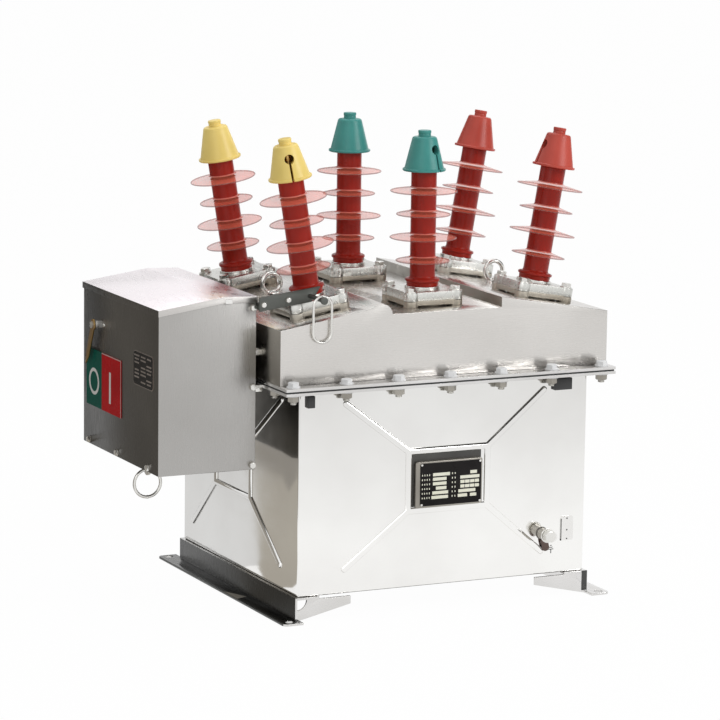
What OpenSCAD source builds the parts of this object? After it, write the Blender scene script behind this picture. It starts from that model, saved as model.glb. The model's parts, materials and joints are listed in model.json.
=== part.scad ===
// Outdoor box-type circuit breaker: a sealed steel tank on two base members, a sloping cover
// with six ribbed bushings, and a spring mechanism box on the left end.
// Millimetres. X runs along the tank, mechanism box at -X. The front is -Y. Z is up, and the
// origin is on the ground under the middle of the tank.

/* [Base] */
// Height of the base members
base_h = 41; // [30:1:80]
// Sheet thickness of the base members
base_t = 4; // [3:0.5:6]
// How far the base stands out past the tank's end walls
base_ledge = 6; // [4:1:12]
// How far the base runs past the tank's front and rear
base_over = 4; // [2:1:10]
// Width of the top flange that carries the tank
base_top_w = 46; // [30:1:80]
// Width of the foot flange on the ground
foot_w = 33; // [28:1:50]
// How far each foot runs past the front and rear ends of its member
foot_run = 27; // [24:1:45]
// Radius of the foot's outer corners
foot_corner_r = 9; // [3:1:12]
// Diameter of the foot bolt holes
foot_hole_d = 15; // [10:0.5:18]
// Length of the tapered end plates under the tank
gusset_l = 106; // [60:1:140]
// Height of an end plate at its inner end
gusset_tip_h = 14; // [8:1:20]

/* [Tank] */
// Length of the tank
tank_l = 562; // [500:1:640]
// Depth of the tank from front to rear
tank_w = 508; // [460:1:560]
// Height of the tank's walls
tank_h = 360; // [300:1:450]
// Wall thickness of the tank and its cover
wall_t = 3; // [2:0.5:5]
// Outside radius of the tank's upright corners
tank_corner_r = 12; // [6:1:20]
// Diameter of the pressed beads
bead_d = 12; // [8:1:18]
// How far the beads stand out
bead_rise = 4; // [2:0.5:5]
// Width of the bead frame round the middle of a wall
bead_frame_w = 154; // [120:1:180]
// Height of the bead frame
bead_frame_h = 106; // [90:1:130]
// Height of the frame's middle above the tank's floor
bead_frame_z = 189; // [150:1:220]
// Distance of the slanting beads' ends from the tank's ends, on the long walls
bead_end_long = 88; // [66:1:110]
// Distance of the slanting beads' ends from the corners, on the end walls
bead_end_short = 61; // [45:1:80]
// Reach of the slanting beads up and down from the middle
bead_reach_z = 146; // [120:1:150]
// How far the frame lies off the middle of the long walls
frame_shift_long = 6; // [0:1:10]
// How far the frame lies off the middle of the end walls
frame_shift_end = 28; // [0:1:30]
// How far the slanting beads' ends lie off the middle of the end walls
reach_shift_end = 14; // [0:1:16]

/* [Flanges] */
// How far the bolted flanges stand out past the tank's end walls
flange_over_end = 39; // [38:1:60]
// How far the flanges stand out past the tank's front and rear
flange_over_side = 31; // [30:1:50]
// Thickness of each flange
flange_t = 5; // [4:0.5:8]
// Thickness of the gasket
gasket_t = 3; // [2:0.5:5]
// How far the gasket's edge lies inside the flanges' edge
gasket_inset = 2; // [1:0.5:4]
// Distance of the bolts from the flanges' edge
bolt_edge = 16; // [14:0.5:22]
// Distance of the first and last bolt of a long row from the flanges' ends
bolt_end_long = 20; // [16:1:30]
// Distance of the first and last bolt of a short row from the flanges' front and rear
bolt_end_short = 85; // [60:1:110]
// Number of bolts along the front and rear
bolts_long = 7; // [5:2:7]
// Number of bolts along each end
bolts_short = 5; // [3:2:5]
// Thread diameter of the bolts
bolt_d = 12; // [8:1:14]
// Width of the bolt heads across their flats
bolt_af = 18; // [14:1:20]
// Clearance of the bolts in their holes, on the diameter
bolt_clear = 1.5; // [0.5:0.1:2]

/* [Cover] */
// How far the cover's end walls stand out past the tank's
cover_over_end = 37; // [20:1:38]
// How far the cover's front and rear stand out past the tank's
cover_over_side = 0; // [0:0.5:2]
// Height of the cover's end walls above the flange
cover_h = 96; // [70:1:140]
// Slope of the two roof wings, and lean of the outer bushings
roof_tilt = 9.7; // [5:0.1:14]
// Half width of the sunk middle of the roof
roof_dip_x = 106; // [85:1:125]
// Depth of the sunk middle below the folds
roof_dip_h = 18.5; // [10:0.5:24]
// Width of the rounded fold on the left of the middle
roof_round_w = 22; // [10:1:30]
// How far that fold stands up over the slope
roof_round_rise = 4; // [0:0.5:6]

/* [Bushings] */
// Distance of the outer phases, at the bushings' collars, from the cover's end walls
phase_end = 95; // [80:1:105]
// Distance of the bushings from the middle, front and rear
phase_y = 153; // [130:1:180]
// Width of the square clamp plates
clamp_w = 112; // [100:1:120]
// Radius of the clamp plates' corners between their ears
clamp_r = 20; // [18:1:26]
// Diameter of the round ears at the clamps' corners
clamp_ear_d = 26; // [22:1:30]
// How far the plates' sides lie inside the ears
clamp_inset = 2; // [1:0.5:5]
// How far the lower plate's edge is lifted off the roof between the ears
clamp_lift = 3; // [1:0.5:5]
// Diameter of the seat under the middle of a clamp
clamp_seat_d = 88; // [70:1:96]
// Thickness of the lower clamp casting
clamp_low_t = 11; // [8:1:16]
// Thickness of the upper clamp plate
clamp_up_t = 15; // [8:1:18]
// Diameter of the bright ring on the clamp
ring_d = 62; // [62:1:84]
// Height of the bright ring
ring_h = 5; // [4:1:14]
// Spacing of the clamp bolts
clamp_pitch = 86; // [80:1:88]
// Thread diameter of the clamp bolts
clamp_bolt_d = 10; // [8:1:12]
// Width of the clamp bolts' heads across their flats
clamp_bolt_af = 16; // [13:1:19]
// Diameter of the bushing's collar
collar_d = 61; // [50:1:64]
// Height of the bushing's collar
collar_h = 13; // [10:1:24]
// Diameter of the bushing's core
core_d = 45; // [36:1:48]
// Length of the bushing from the foot of its collar to its cap
core_l = 202; // [190:1:260]
// Diameter of the large sheds
shed_big_d = 118; // [100:1:130]
// Diameter of the small sheds
shed_small_d = 96; // [80:1:100]
// Spacing of the sheds
shed_pitch = 41; // [34:1:44]
// Number of sheds on a bushing
shed_count = 4; // [2:1:4]
// Height of the lowest shed's rim above the foot of the collar
shed_first = 42; // [36:1:55]
// How far a shed's rim hangs below its root
shed_droop = 5; // [2:0.5:8]
// Thickness of a shed at its rim
shed_rim_t = 3; // [2:0.5:4]
// Thickness of a shed at its root
shed_root_t = 8; // [6:0.5:10]
// Diameter of the shank that goes through the clamp and the roof
shank_d = 56; // [40:1:58]
// How far the shank reaches below the roof
shank_reach = 25; // [10:1:60]
// Clearance round the shank, on the diameter
shank_clear = 1.2; // [0.6:0.1:3]
// Diameter of the terminal stud inside a cap
stud_d = 16; // [10:1:20]
// Length of the terminal stud
stud_l = 44; // [30:1:48]

/* [Caps] */
// Diameter of a cap at its lip
cap_low_d = 76; // [66:1:90]
// Height of the cap's lip
cap_lip_h = 4; // [3:0.5:9]
// Diameter of the cone just above the lip
cap_cone_d = 70; // [60:1:80]
// Diameter of the cone at its top
cap_top_d = 42; // [34:1:48]
// Height of the cap without its knob
cap_h = 60; // [50:1:75]
// Diameter of the knob
knob_d = 23; // [14:1:28]
// Height of the knob
knob_h = 11; // [5:0.5:14]
// Wall thickness of the caps
cap_t = 3.5; // [2.5:0.5:5]
// Diameter of the wire hole in the front caps
wire_hole_d = 17; // [8:0.5:18]
// Height of the wire hole above the cap's lip
wire_hole_z = 38; // [30:1:42]
// Width of the slit below the wire hole
slit_w = 4; // [1:0.1:5]

/* [Mechanism box] */
// Gap between the mechanism box and the cover
box_gap = 16; // [12:1:30]
// Length of the box along the tank
box_l = 181; // [150:1:220]
// Depth of the box from front to rear
box_w = 350; // [300:1:400]
// How far the box's middle lies in front of the tank's middle
box_shift = 13; // [0:1:30]
// Height of the box's floor above the ground
box_z = 259; // [240:1:300]
// Height of the box's outer wall
box_h = 282; // [250:1:320]
// Sheet thickness of the box
box_t = 2.5; // [1.5:0.5:4]
// Distance of the lid's ridge from the box's outer wall
ridge_x = 122; // [100:1:150]
// Rise of the lid from the outer wall to the ridge
ridge_rise = 21; // [10:1:30]
// Fall of the lid from the ridge to the inner wall
ridge_fall = 2; // [0:0.5:6]
// Thickness of the lid's sheet
lid_t = 2; // [1.5:0.5:3]
// Depth of the lid's folded edge
lid_skirt = 9; // [6:1:20]
// How far the lid stands out past the outer wall
lid_over = 9; // [5:1:20]
// Clearance between the lid's folded edge and the box
lid_clear = 0.5; // [0.3:0.1:2]

/* [Indicator] */
// Height of the pointer's pivot above the box's floor
pivot_z = 221; // [200:1:240]
// Distance of the pivot behind the box's middle
pivot_y = 107; // [95:1:115]
// Length of the pointer from its pivot to its tip
pointer_l = 82; // [60:1:95]
// Width of the pointer
pointer_w = 13; // [8:1:15]
// Thickness of the pointer
pointer_t = 3; // [2:0.5:5]
// Lean of the pointer from straight down, towards the rear, at rest
pointer_rest = 25; // [15:1:30]
// Diameter of the pivot pin
pivot_d = 8; // [6:0.5:10]
// Diameter of the pin's collar behind the pointer
pivot_collar_d = 14; // [12:1:18]
// Diameter of the pin's head
pivot_head_d = 13; // [12:1:18]
// Diameter of the pointer's eye
pointer_eye_d = 20; // [18:1:24]
// Length of the pointer's point
pointer_point_l = 20; // [10:1:30]
// Running clearance of the pointer on its pin, on the radius
pivot_clear = 0.05; // [0.02:0.01:0.1]
// Gap between the status plate and the pointer
pointer_gap = 5.5; // [5:0.5:9]
// Width of the green half of the status plate
status_open_w = 73; // [50:1:80]
// Width of the red half of the status plate
status_closed_w = 91; // [60:1:95]
// Height of the status plate
status_h = 102; // [80:1:110]
// Height of the status plate's lower edge above the box's floor
status_z = 72; // [60:1:90]
// Distance of the status plate's rear edge from the box's rear wall
status_edge = 18; // [8:1:24]
// Thickness of the plates on the box
plate_t = 1.5; // [1:0.5:3]

/* [Plates] */
// Width of the rating plate on the box
rating_w = 89; // [60:1:95]
// Height of the rating plate
rating_h = 60; // [40:1:70]
// Distance of the rating plate from the box's front wall
rating_edge = 22; // [12:1:30]
// Height of the rating plate's lower edge above the box's floor
rating_z = 144; // [120:1:160]
// Cut of the rating plate's corners
rating_cut = 7; // [3:1:12]
// Width of the plate block on the tank
block_w = 119; // [90:1:135]
// Height of the plate block
block_h = 76; // [60:1:85]
// How far the plate block stands out from the tank
block_d = 12; // [8:1:24]
// Distance of the plate block's middle from the tank's middle, to the right
block_x = 6.5; // [0:0.5:10]
// Height of the plate block's middle above the tank's floor
block_z = 183; // [175:1:195]
// Width of the small tag on the tank
tag_w = 25; // [20:1:32]
// Height of the small tag
tag_h = 44; // [30:1:50]
// Thickness of the small tag
tag_t = 1; // [0.5:0.5:3]
// Distance of the tag's middle from the tank's right end
tag_edge = 35.5; // [30:0.5:45]
// Height of the tag's middle above the tank's floor
tag_z = 80; // [60:1:100]

/* [Fittings] */
// Distance of the earth boss from the tank's right end
earth_edge = 86; // [70:1:100]
// Height of the earth boss above the tank's floor
earth_z = 75; // [50:1:90]
// Diameter of the earth boss
earth_boss_d = 20; // [16:1:30]
// Length of the earth boss
earth_boss_l = 22; // [12:1:40]
// Thread diameter of the earth bolt
earth_d = 12; // [8:1:14]
// Width of the earth bolt's head across its flats
earth_af = 19; // [15:1:24]
// Thickness of the earth bolt's washers
earth_washer_t = 6; // [2:1:8]
// Outside diameter of the lifting eyes
eye_d = 43; // [30:1:50]
// Thickness of the lifting eyes' wire
eye_wire = 8; // [5:0.5:9]
// Diameter of the lifting eyes' shoulder
eye_shoulder_d = 22; // [16:1:30]
// Height of the lifting eyes' shoulder
eye_shoulder_h = 7; // [4:0.5:10]
// Height of the strap from the box to the left front clamp
strap_h = 24; // [18:1:28]
// Thickness of the strap
strap_t = 5; // [3:0.5:8]
// How far the strap's end covers the box's edge
strap_lap = 3; // [1:1:8]
// Distance of the strap's lower end from the phase of its bushing, towards the box
strap_rest = 17; // [10:1:22]
// How far the slanting end stands past the lower edge
strap_slant = 17; // [6:1:24]
// Slope of the strap
strap_tilt = 7.2; // [4:0.1:8]
// Thickness of the tab that holds the strap on the box
strap_tab_t = 8; // [6:1:12]
// Length of that tab to the rear
strap_tab_l = 42; // [30:1:60]
// Height of that tab
strap_tab_h = 12; // [10:1:18]
// Length of the hanging link inside its wire
link_l = 75; // [60:1:90]
// Width of the hanging link inside its wire
link_w = 30; // [20:1:40]
// Thickness of the link's wire
link_wire = 4.5; // [3:0.5:6]
// Gap between the link and the front of the cover
link_gap = 6; // [5:0.5:12]
// Distance of the link from the phase of its bushing, towards the box
link_x = 20.5; // [14:0.5:24]
// Diameter of the pin that carries the link
link_pin_d = 8; // [5:0.5:10]
// Height of that pin above the clamp's foot at its bushing
link_pin_z = 33; // [32:0.5:36]
// Outside diameter of the pull ring
pull_d = 55; // [40:1:70]
// Thickness of the pull ring's wire
pull_wire = 5.5; // [4:0.5:7]
// Distance of the pull ring from the box's outer wall
pull_x = 45; // [35:1:70]
// Distance of the pull ring in front of the tank's middle
pull_y = 30; // [0:1:60]
// Thickness of the ear that carries the pull ring
ear_t = 5; // [3:0.5:8]
// Width of the ear
ear_w = 26; // [20:1:36]
// Drop of the ear's hole below the box
ear_drop = 17; // [15:1:24]
// Diameter of the hole in the ear
ear_hole_d = 11; // [8:0.5:14]
// Diameter of the spacers between the box and the cover
spacer_d = 14; // [10:1:20]
// Distance of the spacers from the box's front and rear walls
spacer_edge = 16; // [12:1:40]
// Length of the brackets between the box and the tank flange, front to rear
bracket_l = 24; // [16:1:40]
// Height of those brackets
bracket_h = 12; // [8:1:20]
// Thickness of the pads under the tank flange
pad_t = 8; // [4:1:12]
// Height of the pads
pad_h = 21; // [14:1:26]
// Length of the left pad
pad_left_l = 14; // [10:1:40]
// Length of the right pad
pad_right_l = 35; // [20:1:50]
// Distance of the right pad from the tank's right end
pad_right_x = 35; // [20:1:45]

/* [Hidden] */
PHASES = [["left", -1], ["centre", 0], ["right", 1]];
ROWS = [["front", -1], ["rear", 1]];
$fn = 48;
eps = 0.01;
touch = 0.3;
pin_head_t = 3;
end_notch_r = 18;
pad_drop = 6;
hex = 6;
box_open = 5;
collar_round = 2;
neck_w = 4;
neck_h = 5;
cap_round = 3;
cap_seat = 4;
lip_round = 1;
knob_round = 2;
pin_head_over = 5;
hole_fn = 32;
cap_turns = [-16, 22, -92];

flange_l = tank_l + 2 * flange_over_end;
flange_w = tank_w + 2 * flange_over_side;
cover_l = tank_l + 2 * cover_over_end;
cover_w = tank_w + 2 * cover_over_side;
phase_x = cover_l / 2 - phase_end;

tank_z = base_h;
tank_top = tank_z + tank_h;
gasket_z = tank_top + flange_t;
cover_flange_z = gasket_z + gasket_t;
cover_z = cover_flange_z + flange_t;
wall_top = cover_z + cover_h;
web_x = tank_l / 2 + base_ledge;
base_y = tank_w / 2 + base_over;
foot_hole_x = web_x + foot_w / 2;
foot_hole_y = base_y + foot_run / 2;

function roof_z(x) = wall_top + (cover_l / 2 - abs(x)) * tan(roof_tilt);
fold_z = roof_z(roof_dip_x);
dip_z = fold_z - roof_dip_h;
stack = clamp_low_t + clamp_up_t + ring_h;
roof_x = phase_x - stack * sin(roof_tilt);

box_x1 = -cover_l / 2 - box_gap;
box_x0 = box_x1 - box_l;
box_y0 = -box_shift - box_w / 2;
box_y1 = -box_shift + box_w / 2;
box_top = box_z + box_h;
lid_slope = atan(ridge_rise / ridge_x);

pin_y = pivot_y - box_shift;
pin_z = box_z + pivot_z;
pointer_x = box_x0 - plate_t - pointer_gap;

// Plate with round corners, centred on the origin, its underside at z = 0
module rounded_plate(l, w, r, h) {
    linear_extrude(h) rounded_outline(l, w, r);
}

module rounded_outline(l, w, r) {
    square([l - 2 * r, w], center = true);
    square([l, w - 2 * r], center = true);
    for (x = [-1, 1], y = [-1, 1])
        translate([x * (l / 2 - r), y * (w / 2 - r)]) circle(r, $fn = 32);
}

// Places its children on the roof under a bushing, leaning with it
module at_bushing(side, row) {
    base = side == 0 ? [0, row * phase_y, dip_z] : [side * roof_x, row * phase_y, roof_z(roof_x)];
    translate(base) rotate([0, side * roof_tilt, 0]) children();
}

// Shapes that follow the bolts along the flanges
module at_long_bolts() {
    pitch = (flange_l - 2 * bolt_end_long) / (bolts_long - 1);
    for (i = [0 : bolts_long - 1], row = [-1, 1])
        translate([(i - (bolts_long - 1) / 2) * pitch, row * (flange_w / 2 - bolt_edge), 0]) children();
}

module at_short_bolts() {
    pitch = (flange_w - 2 * bolt_end_short) / (bolts_short - 1);
    for (i = [0 : bolts_short - 1], side = [-1, 1])
        translate([side * (flange_l / 2 - bolt_edge), (i - (bolts_short - 1) / 2) * pitch, 0]) children();
}

module base_member(side) {
    color("gainsboro") mirror([side < 0 ? 1 : 0, 0, 0]) union() {
        translate([web_x - base_t, -base_y, 0]) cube([base_t, 2 * base_y, base_h]);
        translate([web_x - base_top_w, -base_y, base_h - base_t]) cube([base_top_w, 2 * base_y, base_t]);
        difference() {
            linear_extrude(base_t) foot_outline();
            foot_holes();
        }
        for (row = [-1, 1]) end_plate(row);
    }
}

// Outline of a foot flange, its two outer corners round
module foot_outline() {
    r = foot_corner_r;
    x0 = web_x - base_t;
    y = base_y + foot_run;
    translate([x0, -y]) square([foot_w + base_t - r, 2 * y]);
    translate([x0, -y + r]) square([foot_w + base_t, 2 * (y - r)]);
    for (row = [-1, 1])
        translate([web_x + foot_w - r, row * (y - r)]) circle(r);
}

module foot_holes() {
    for (row = [-1, 1])
        translate([foot_hole_x, row * foot_hole_y, -1]) cylinder(h = base_t + 2, d = foot_hole_d);
}

// Tapered plate that closes an end of a base member, standing under the tank's floor
module end_plate(row) {
    top = base_h - base_t;
    y = row < 0 ? -base_y + base_t : base_y;
    translate([0, y, 0]) rotate([90, 0, 0]) linear_extrude(base_t) difference() {
        polygon([[web_x - base_t, 0], [web_x - base_t, top],
            [web_x - gusset_l, top], [web_x - gusset_l, top - gusset_tip_h]]);
        translate([web_x - base_t, top]) circle(r = end_notch_r);
    }
}

module tank_shell() {
    reach_long = tank_l / 2 - bead_end_long;
    reach_short = tank_w / 2 - bead_end_short;
    color("whitesmoke") union() {
        difference() {
            translate([0, 0, tank_z]) rounded_plate(tank_l, tank_w, tank_corner_r, tank_h);
            translate([0, 0, tank_z + wall_t])
                rounded_plate(tank_l - 2 * wall_t, tank_w - 2 * wall_t, tank_corner_r - wall_t, tank_h);
        }
        wall_beads(tank_w / 2, frame_shift_long, reach_long, 0);
        rotate([0, 0, 180]) wall_beads(tank_w / 2, -frame_shift_long, reach_long, 0);
        rotate([0, 0, -90]) wall_beads(tank_l / 2, -frame_shift_end, reach_short, -reach_shift_end);
        rotate([0, 0, 90]) wall_beads(tank_l / 2, frame_shift_end, reach_short, reach_shift_end);
    }
}

// Pressed beads of one wall: a frame round the middle and four slanting ones
module wall_beads(wall_y, frame_shift, reach, reach_shift) {
    sunk = wall_t / 2;
    x = bead_frame_w / 2;
    z = bead_frame_h / 2;
    translate([0, -wall_y, tank_z + bead_frame_z]) rotate([90, 0, 0])
        translate([0, 0, -sunk]) linear_extrude(bead_rise + sunk) for (s = [-1, 1]) {
            bead([frame_shift - x, s * z], [frame_shift + x, s * z]);
            bead([frame_shift + s * x, -z], [frame_shift + s * x, z]);
            for (t = [-1, 1])
                bead([frame_shift + s * x, t * z], [reach_shift + s * reach, t * bead_reach_z]);
        }
}

// Outline of a bead between two points, its ends cut to half a twelve-sided shape
module bead(from, to) {
    run = to - from;
    r = bead_d / 2;
    turn = atan2(run.y, run.x);
    polygon(concat(
        [for (a = [-90 : 30 : 90]) to + r * [cos(turn + a), sin(turn + a)]],
        [for (a = [90 : 30 : 270]) from + r * [cos(turn + a), sin(turn + a)]]));
}

// Flat frame with the bolt holes of both flanges
module flange_frame(inset, t) {
    hole = bolt_d + bolt_clear;
    difference() {
        translate([-flange_l / 2 + inset, -flange_w / 2 + inset, 0])
            cube([flange_l - 2 * inset, flange_w - 2 * inset, t]);
        translate([0, 0, -1])
            rounded_plate(tank_l - 2 * wall_t, tank_w - 2 * wall_t, tank_corner_r - wall_t, t + 2);
        translate([0, 0, -1]) at_long_bolts() cylinder(h = t + 2, d = hole, $fn = hole_fn);
        translate([0, 0, -1]) at_short_bolts() cylinder(h = t + 2, d = hole, $fn = hole_fn);
    }
}

module tank_flange() {
    color("gainsboro") translate([0, 0, tank_top]) flange_frame(0, flange_t);
}

module gasket() {
    color("dimgray") translate([0, 0, gasket_z]) flange_frame(gasket_inset, gasket_t);
}

module cover_flange() {
    color("gainsboro") translate([0, 0, cover_flange_z]) flange_frame(0, flange_t);
}

// Section of the cover along the tank: a round fold left of the sunk middle, a sharp one on its right
function roof_points(in) =
    let (a = cover_l / 2 - in, up = in / cos(roof_tilt), d = roof_dip_x + in, w = roof_round_w)
    let (top = fold_top(in), drop = top - dip_z + in)
    concat(
        [[-a, cover_z - eps], [-a, roof_z(a) - up], [-d - 2 * w, roof_z(d + 2 * w) - up]],
        [for (k = [0 : 18 : 90]) [-d - w * (1 - sin(k)), top - drop * (1 - cos(k))]],
        [[d, dip_z - in], [d, roof_z(d) - up], [a, roof_z(a) - up], [a, cover_z - eps]]
    );
function fold_top(in) = roof_z(roof_dip_x + in + roof_round_w) + roof_round_rise - in / cos(roof_tilt);

module cover_profile(in, w) {
    translate([0, w / 2, 0]) rotate([90, 0, 0]) linear_extrude(w) polygon(roof_points(in));
}

module cover_shell() {
    color("silver") difference() {
        cover_profile(0, cover_w);
        cover_profile(wall_t, cover_w - 2 * wall_t);
        translate([-flange_l, -flange_w, cover_z - 2]) cube([2 * flange_l, 2 * flange_w, 2]);
        for (p = PHASES, r = ROWS) at_bushing(p[1], r[1])
            translate([0, 0, -shank_reach]) cylinder(h = 2 * shank_reach, d = shank_d + 2 * shank_clear);
    }
}

module hex_bar(af, h) {
    cylinder(h = h, d = af / cos(30), $fn = hex);
}

// Bolts of the flanges: heads above along front and rear, welded studs along the ends, nuts below
module flange_bolts() {
    head_h = 0.6 * bolt_d;
    nut_h = 0.8 * bolt_d;
    tail = 0.4 * bolt_d;
    grip = cover_z - tank_top;
    color("lightgray") {
        at_long_bolts() union() {
            translate([0, 0, cover_z]) hex_bar(bolt_af, head_h);
            translate([0, 0, tank_top - nut_h - tail]) cylinder(h = grip + nut_h + tail + eps, d = bolt_d);
            translate([0, 0, tank_top - nut_h]) hex_bar(bolt_af, nut_h);
        }
        at_short_bolts() union() {
            translate([0, 0, tank_top - nut_h - tail]) cylinder(h = grip + nut_h + tail, d = bolt_d);
            translate([0, 0, tank_top - nut_h]) hex_bar(bolt_af, nut_h);
        }
    }
}

// Two-part clamp with round ears, a bright ring and four bolts
module clamp(side, row) {
    bore = shank_d + shank_clear;
    top = clamp_low_t + clamp_up_t;
    low_w = clamp_w - 2 * clamp_inset;
    up_w = low_w - clamp_inset;
    color("darkgray") at_bushing(side, row) {
        difference() {
            union() {
                cylinder(h = clamp_low_t, d = clamp_seat_d);
                translate([0, 0, clamp_lift]) rounded_plate(low_w, low_w, clamp_r, clamp_low_t - clamp_lift);
                translate([0, 0, clamp_low_t - eps]) rounded_plate(up_w, up_w, clamp_r, clamp_up_t + eps);
                translate([0, 0, top - eps]) cylinder(h = ring_h + eps, d = ring_d);
                at_clamp_bolts() cylinder(h = top, d = clamp_ear_d);
            }
            translate([0, 0, -1]) cylinder(h = stack + 2, d = bore);
        }
        translate([0, 0, top - eps]) at_clamp_bolts() hex_bar(clamp_bolt_af, 0.65 * clamp_bolt_d);
    }
}

module at_clamp_bolts() {
    for (x = [-1, 1], y = [-1, 1]) translate([x * clamp_pitch / 2, y * clamp_pitch / 2, 0]) children();
}

// Outline of one shed, rim first from below, with its root on the core
function shed_points(i) =
    let (z = shed_first + i * shed_pitch, r = (i % 2 == 0 ? shed_small_d : shed_big_d) / 2, c = core_d / 2)
    [[c, z + shed_droop - shed_root_t / 2 + shed_rim_t / 2], [r - shed_rim_t / 2, z],
     [r, z + shed_rim_t / 2], [r - shed_rim_t / 2, z + shed_rim_t],
     [c, z + shed_droop + shed_root_t / 2 + shed_rim_t / 2]];

module bushing(side, row) {
    sheds = [for (i = [0 : shed_count - 1]) each shed_points(i)];
    color("firebrick") at_bushing(side, row) translate([0, 0, stack]) {
        rotate_extrude() polygon(concat(
            [[0, 0], [collar_d / 2, 0], [collar_d / 2, collar_h - collar_round],
             [collar_d / 2 - collar_round, collar_h], [core_d / 2 + neck_w, collar_h],
             [core_d / 2, collar_h + neck_h]],
            sheds, [[core_d / 2, core_l], [0, core_l]]));
        translate([0, 0, -stack - shank_reach]) cylinder(h = stack + shank_reach + eps, d = shank_d);
        translate([0, 0, core_l - eps]) cylinder(h = stud_l, d = stud_d);
    }
}

// Rubber cap over a terminal; the front ones have a wire hole with a slit below it
module cap(side, row, tint, turn) {
    lip = cap_low_d / 2;
    top = cap_top_d / 2;
    knob = knob_d / 2;
    bore = core_d / 2 - cap_seat;
    color(tint) at_cap(side, row) rotate([0, 0, turn]) difference() {
        rotate_extrude() polygon([
            [bore, 0], [lip - lip_round, 0], [lip, lip_round], [lip, cap_lip_h - lip_round],
            [cap_cone_d / 2, cap_lip_h], [top, cap_h - cap_round], [top - cap_round, cap_h],
            [knob, cap_h], [knob, cap_h + knob_h - knob_round], [knob - knob_round, cap_h + knob_h],
            [0, cap_h + knob_h], [0, cap_h - cap_t],
            [top - cap_t - knob_round, cap_h - cap_t], [bore, cap_lip_h + cap_t]]);
        if (row < 0) {
            translate([0, 0, wire_hole_z]) rotate([90, 0, 0])
                cylinder(h = cap_low_d, d = wire_hole_d, $fn = hole_fn);
            translate([-slit_w / 2, -cap_low_d, -1]) cube([slit_w, cap_low_d, wire_hole_z + 1]);
        }
    }
}

module at_cap(side, row) {
    at_bushing(side, row) translate([0, 0, stack + core_l + touch]) children();
}

function box_outline(in) = [
    [box_x0 + in, box_z + in], [box_x0 + in, box_top + in * tan(lid_slope)],
    [box_x0 + ridge_x, box_top + ridge_rise], [box_x1 - in, box_top + ridge_rise - ridge_fall],
    [box_x1 - in, box_z + in]];

module along_box(y0, y1) {
    translate([0, y1, 0]) rotate([90, 0, 0]) linear_extrude(y1 - y0) children();
}

module mechanism_box() {
    color("slategray") difference() {
        along_box(box_y0, box_y1) polygon(box_outline(0));
        along_box(box_y0 + box_t, box_y1 - box_t)
            polygon([for (p = box_outline(box_t)) [p.x, p.y > box_z + box_h / 2 ? p.y + box_open : p.y]]);
    }
}

module mechanism_lid() {
    x0 = box_x0 - lid_over;
    x1 = box_x1 + lid_clear;
    up = lid_t / cos(lid_slope);
    edge = box_top - lid_over * tan(lid_slope);
    ridge = [box_x0 + ridge_x, box_top + ridge_rise];
    inner = [x1, box_top + ridge_rise - ridge_fall];
    top = [[x0, edge + up], [ridge.x, ridge.y + up], [inner.x, inner.y + up]];
    low = [inner, ridge, [x0, edge]];
    skirt = [for (p = low) [p.x, p.y - lid_skirt]];
    y0 = box_y0 - lid_clear - lid_t;
    y1 = box_y1 + lid_clear + lid_t;
    color("lightgray") union() {
        along_box(y0, y1) polygon(concat(top, low));
        along_box(y0, y0 + lid_t) polygon(concat(top, skirt));
        along_box(y1 - lid_t, y1) polygon(concat(top, skirt));
        translate([x0, y0, edge - lid_skirt]) cube([lid_t, y1 - y0, lid_skirt + up]);
    }
}

// Round spacers to the cover and short brackets to the tank flange, which hold the box
module box_spacers() {
    color("gray") for (y = [box_y0 + spacer_edge, box_y1 - spacer_edge]) {
        translate([box_x1, y, cover_z + cover_h / 2]) rotate([0, 90, 0]) cylinder(h = box_gap, d = spacer_d);
        translate([box_x1, y - bracket_l / 2, tank_top + flange_t - bracket_h])
            cube([-box_x1 - flange_l / 2, bracket_l, bracket_h]);
    }
}

// Thin plate on the box's outer wall, given by its rear edge, width and height
module wall_plate(y_rear, w, z, h) {
    translate([box_x0 - plate_t, y_rear - w, z]) cube([plate_t, w, h]);
}

module status_plate_open() {
    color("seagreen")
        wall_plate(box_y1 - status_edge, status_open_w, box_z + status_z, status_h);
}

module status_plate_closed() {
    color("firebrick")
        wall_plate(box_y1 - status_edge - status_open_w, status_closed_w, box_z + status_z, status_h);
}

module pointer_pin() {
    head_z = plate_t + pointer_gap + pointer_t + touch;
    color("dimgray") translate([box_x0, pin_y, pin_z]) rotate([0, -90, 0]) {
        cylinder(h = plate_t + pointer_gap - touch, d = pivot_collar_d);
        cylinder(h = head_z + eps, d = pivot_d);
        translate([0, 0, head_z]) cylinder(h = pin_head_t, d = pivot_head_d);
    }
}

module pointer() {
    w = pointer_w / 2;
    neck = pointer_l - pointer_point_l;
    color("goldenrod") translate([pointer_x, pin_y, pin_z]) rotate([pointer_rest, 0, 0])
        rotate([0, -90, 0]) difference() {
            union() {
                cylinder(h = pointer_t, d = pointer_eye_d);
                linear_extrude(pointer_t)
                    polygon([[0, -w], [0, w], [-neck, w], [-pointer_l, 0], [-neck, -w]]);
            }
            translate([0, 0, -1]) cylinder(h = pointer_t + 2, r = pivot_d / 2 + pivot_clear);
        }
}

module rating_plate() {
    c = rating_cut;
    w = rating_w;
    h = rating_h;
    color("black") translate([box_x0 - plate_t, box_y0 + rating_edge, box_z + rating_z])
        rotate([90, 0, 90]) linear_extrude(plate_t) polygon([
            [0, c], [c, 0], [w - c, 0], [w, c], [w, h - c], [w - c, h], [c, h], [0, h - c]]);
}

module plate_block() {
    color("black") translate([block_x - block_w / 2, -tank_w / 2 - block_d, tank_z + block_z - block_h / 2])
        cube([block_w, block_d, block_h]);
}

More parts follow.
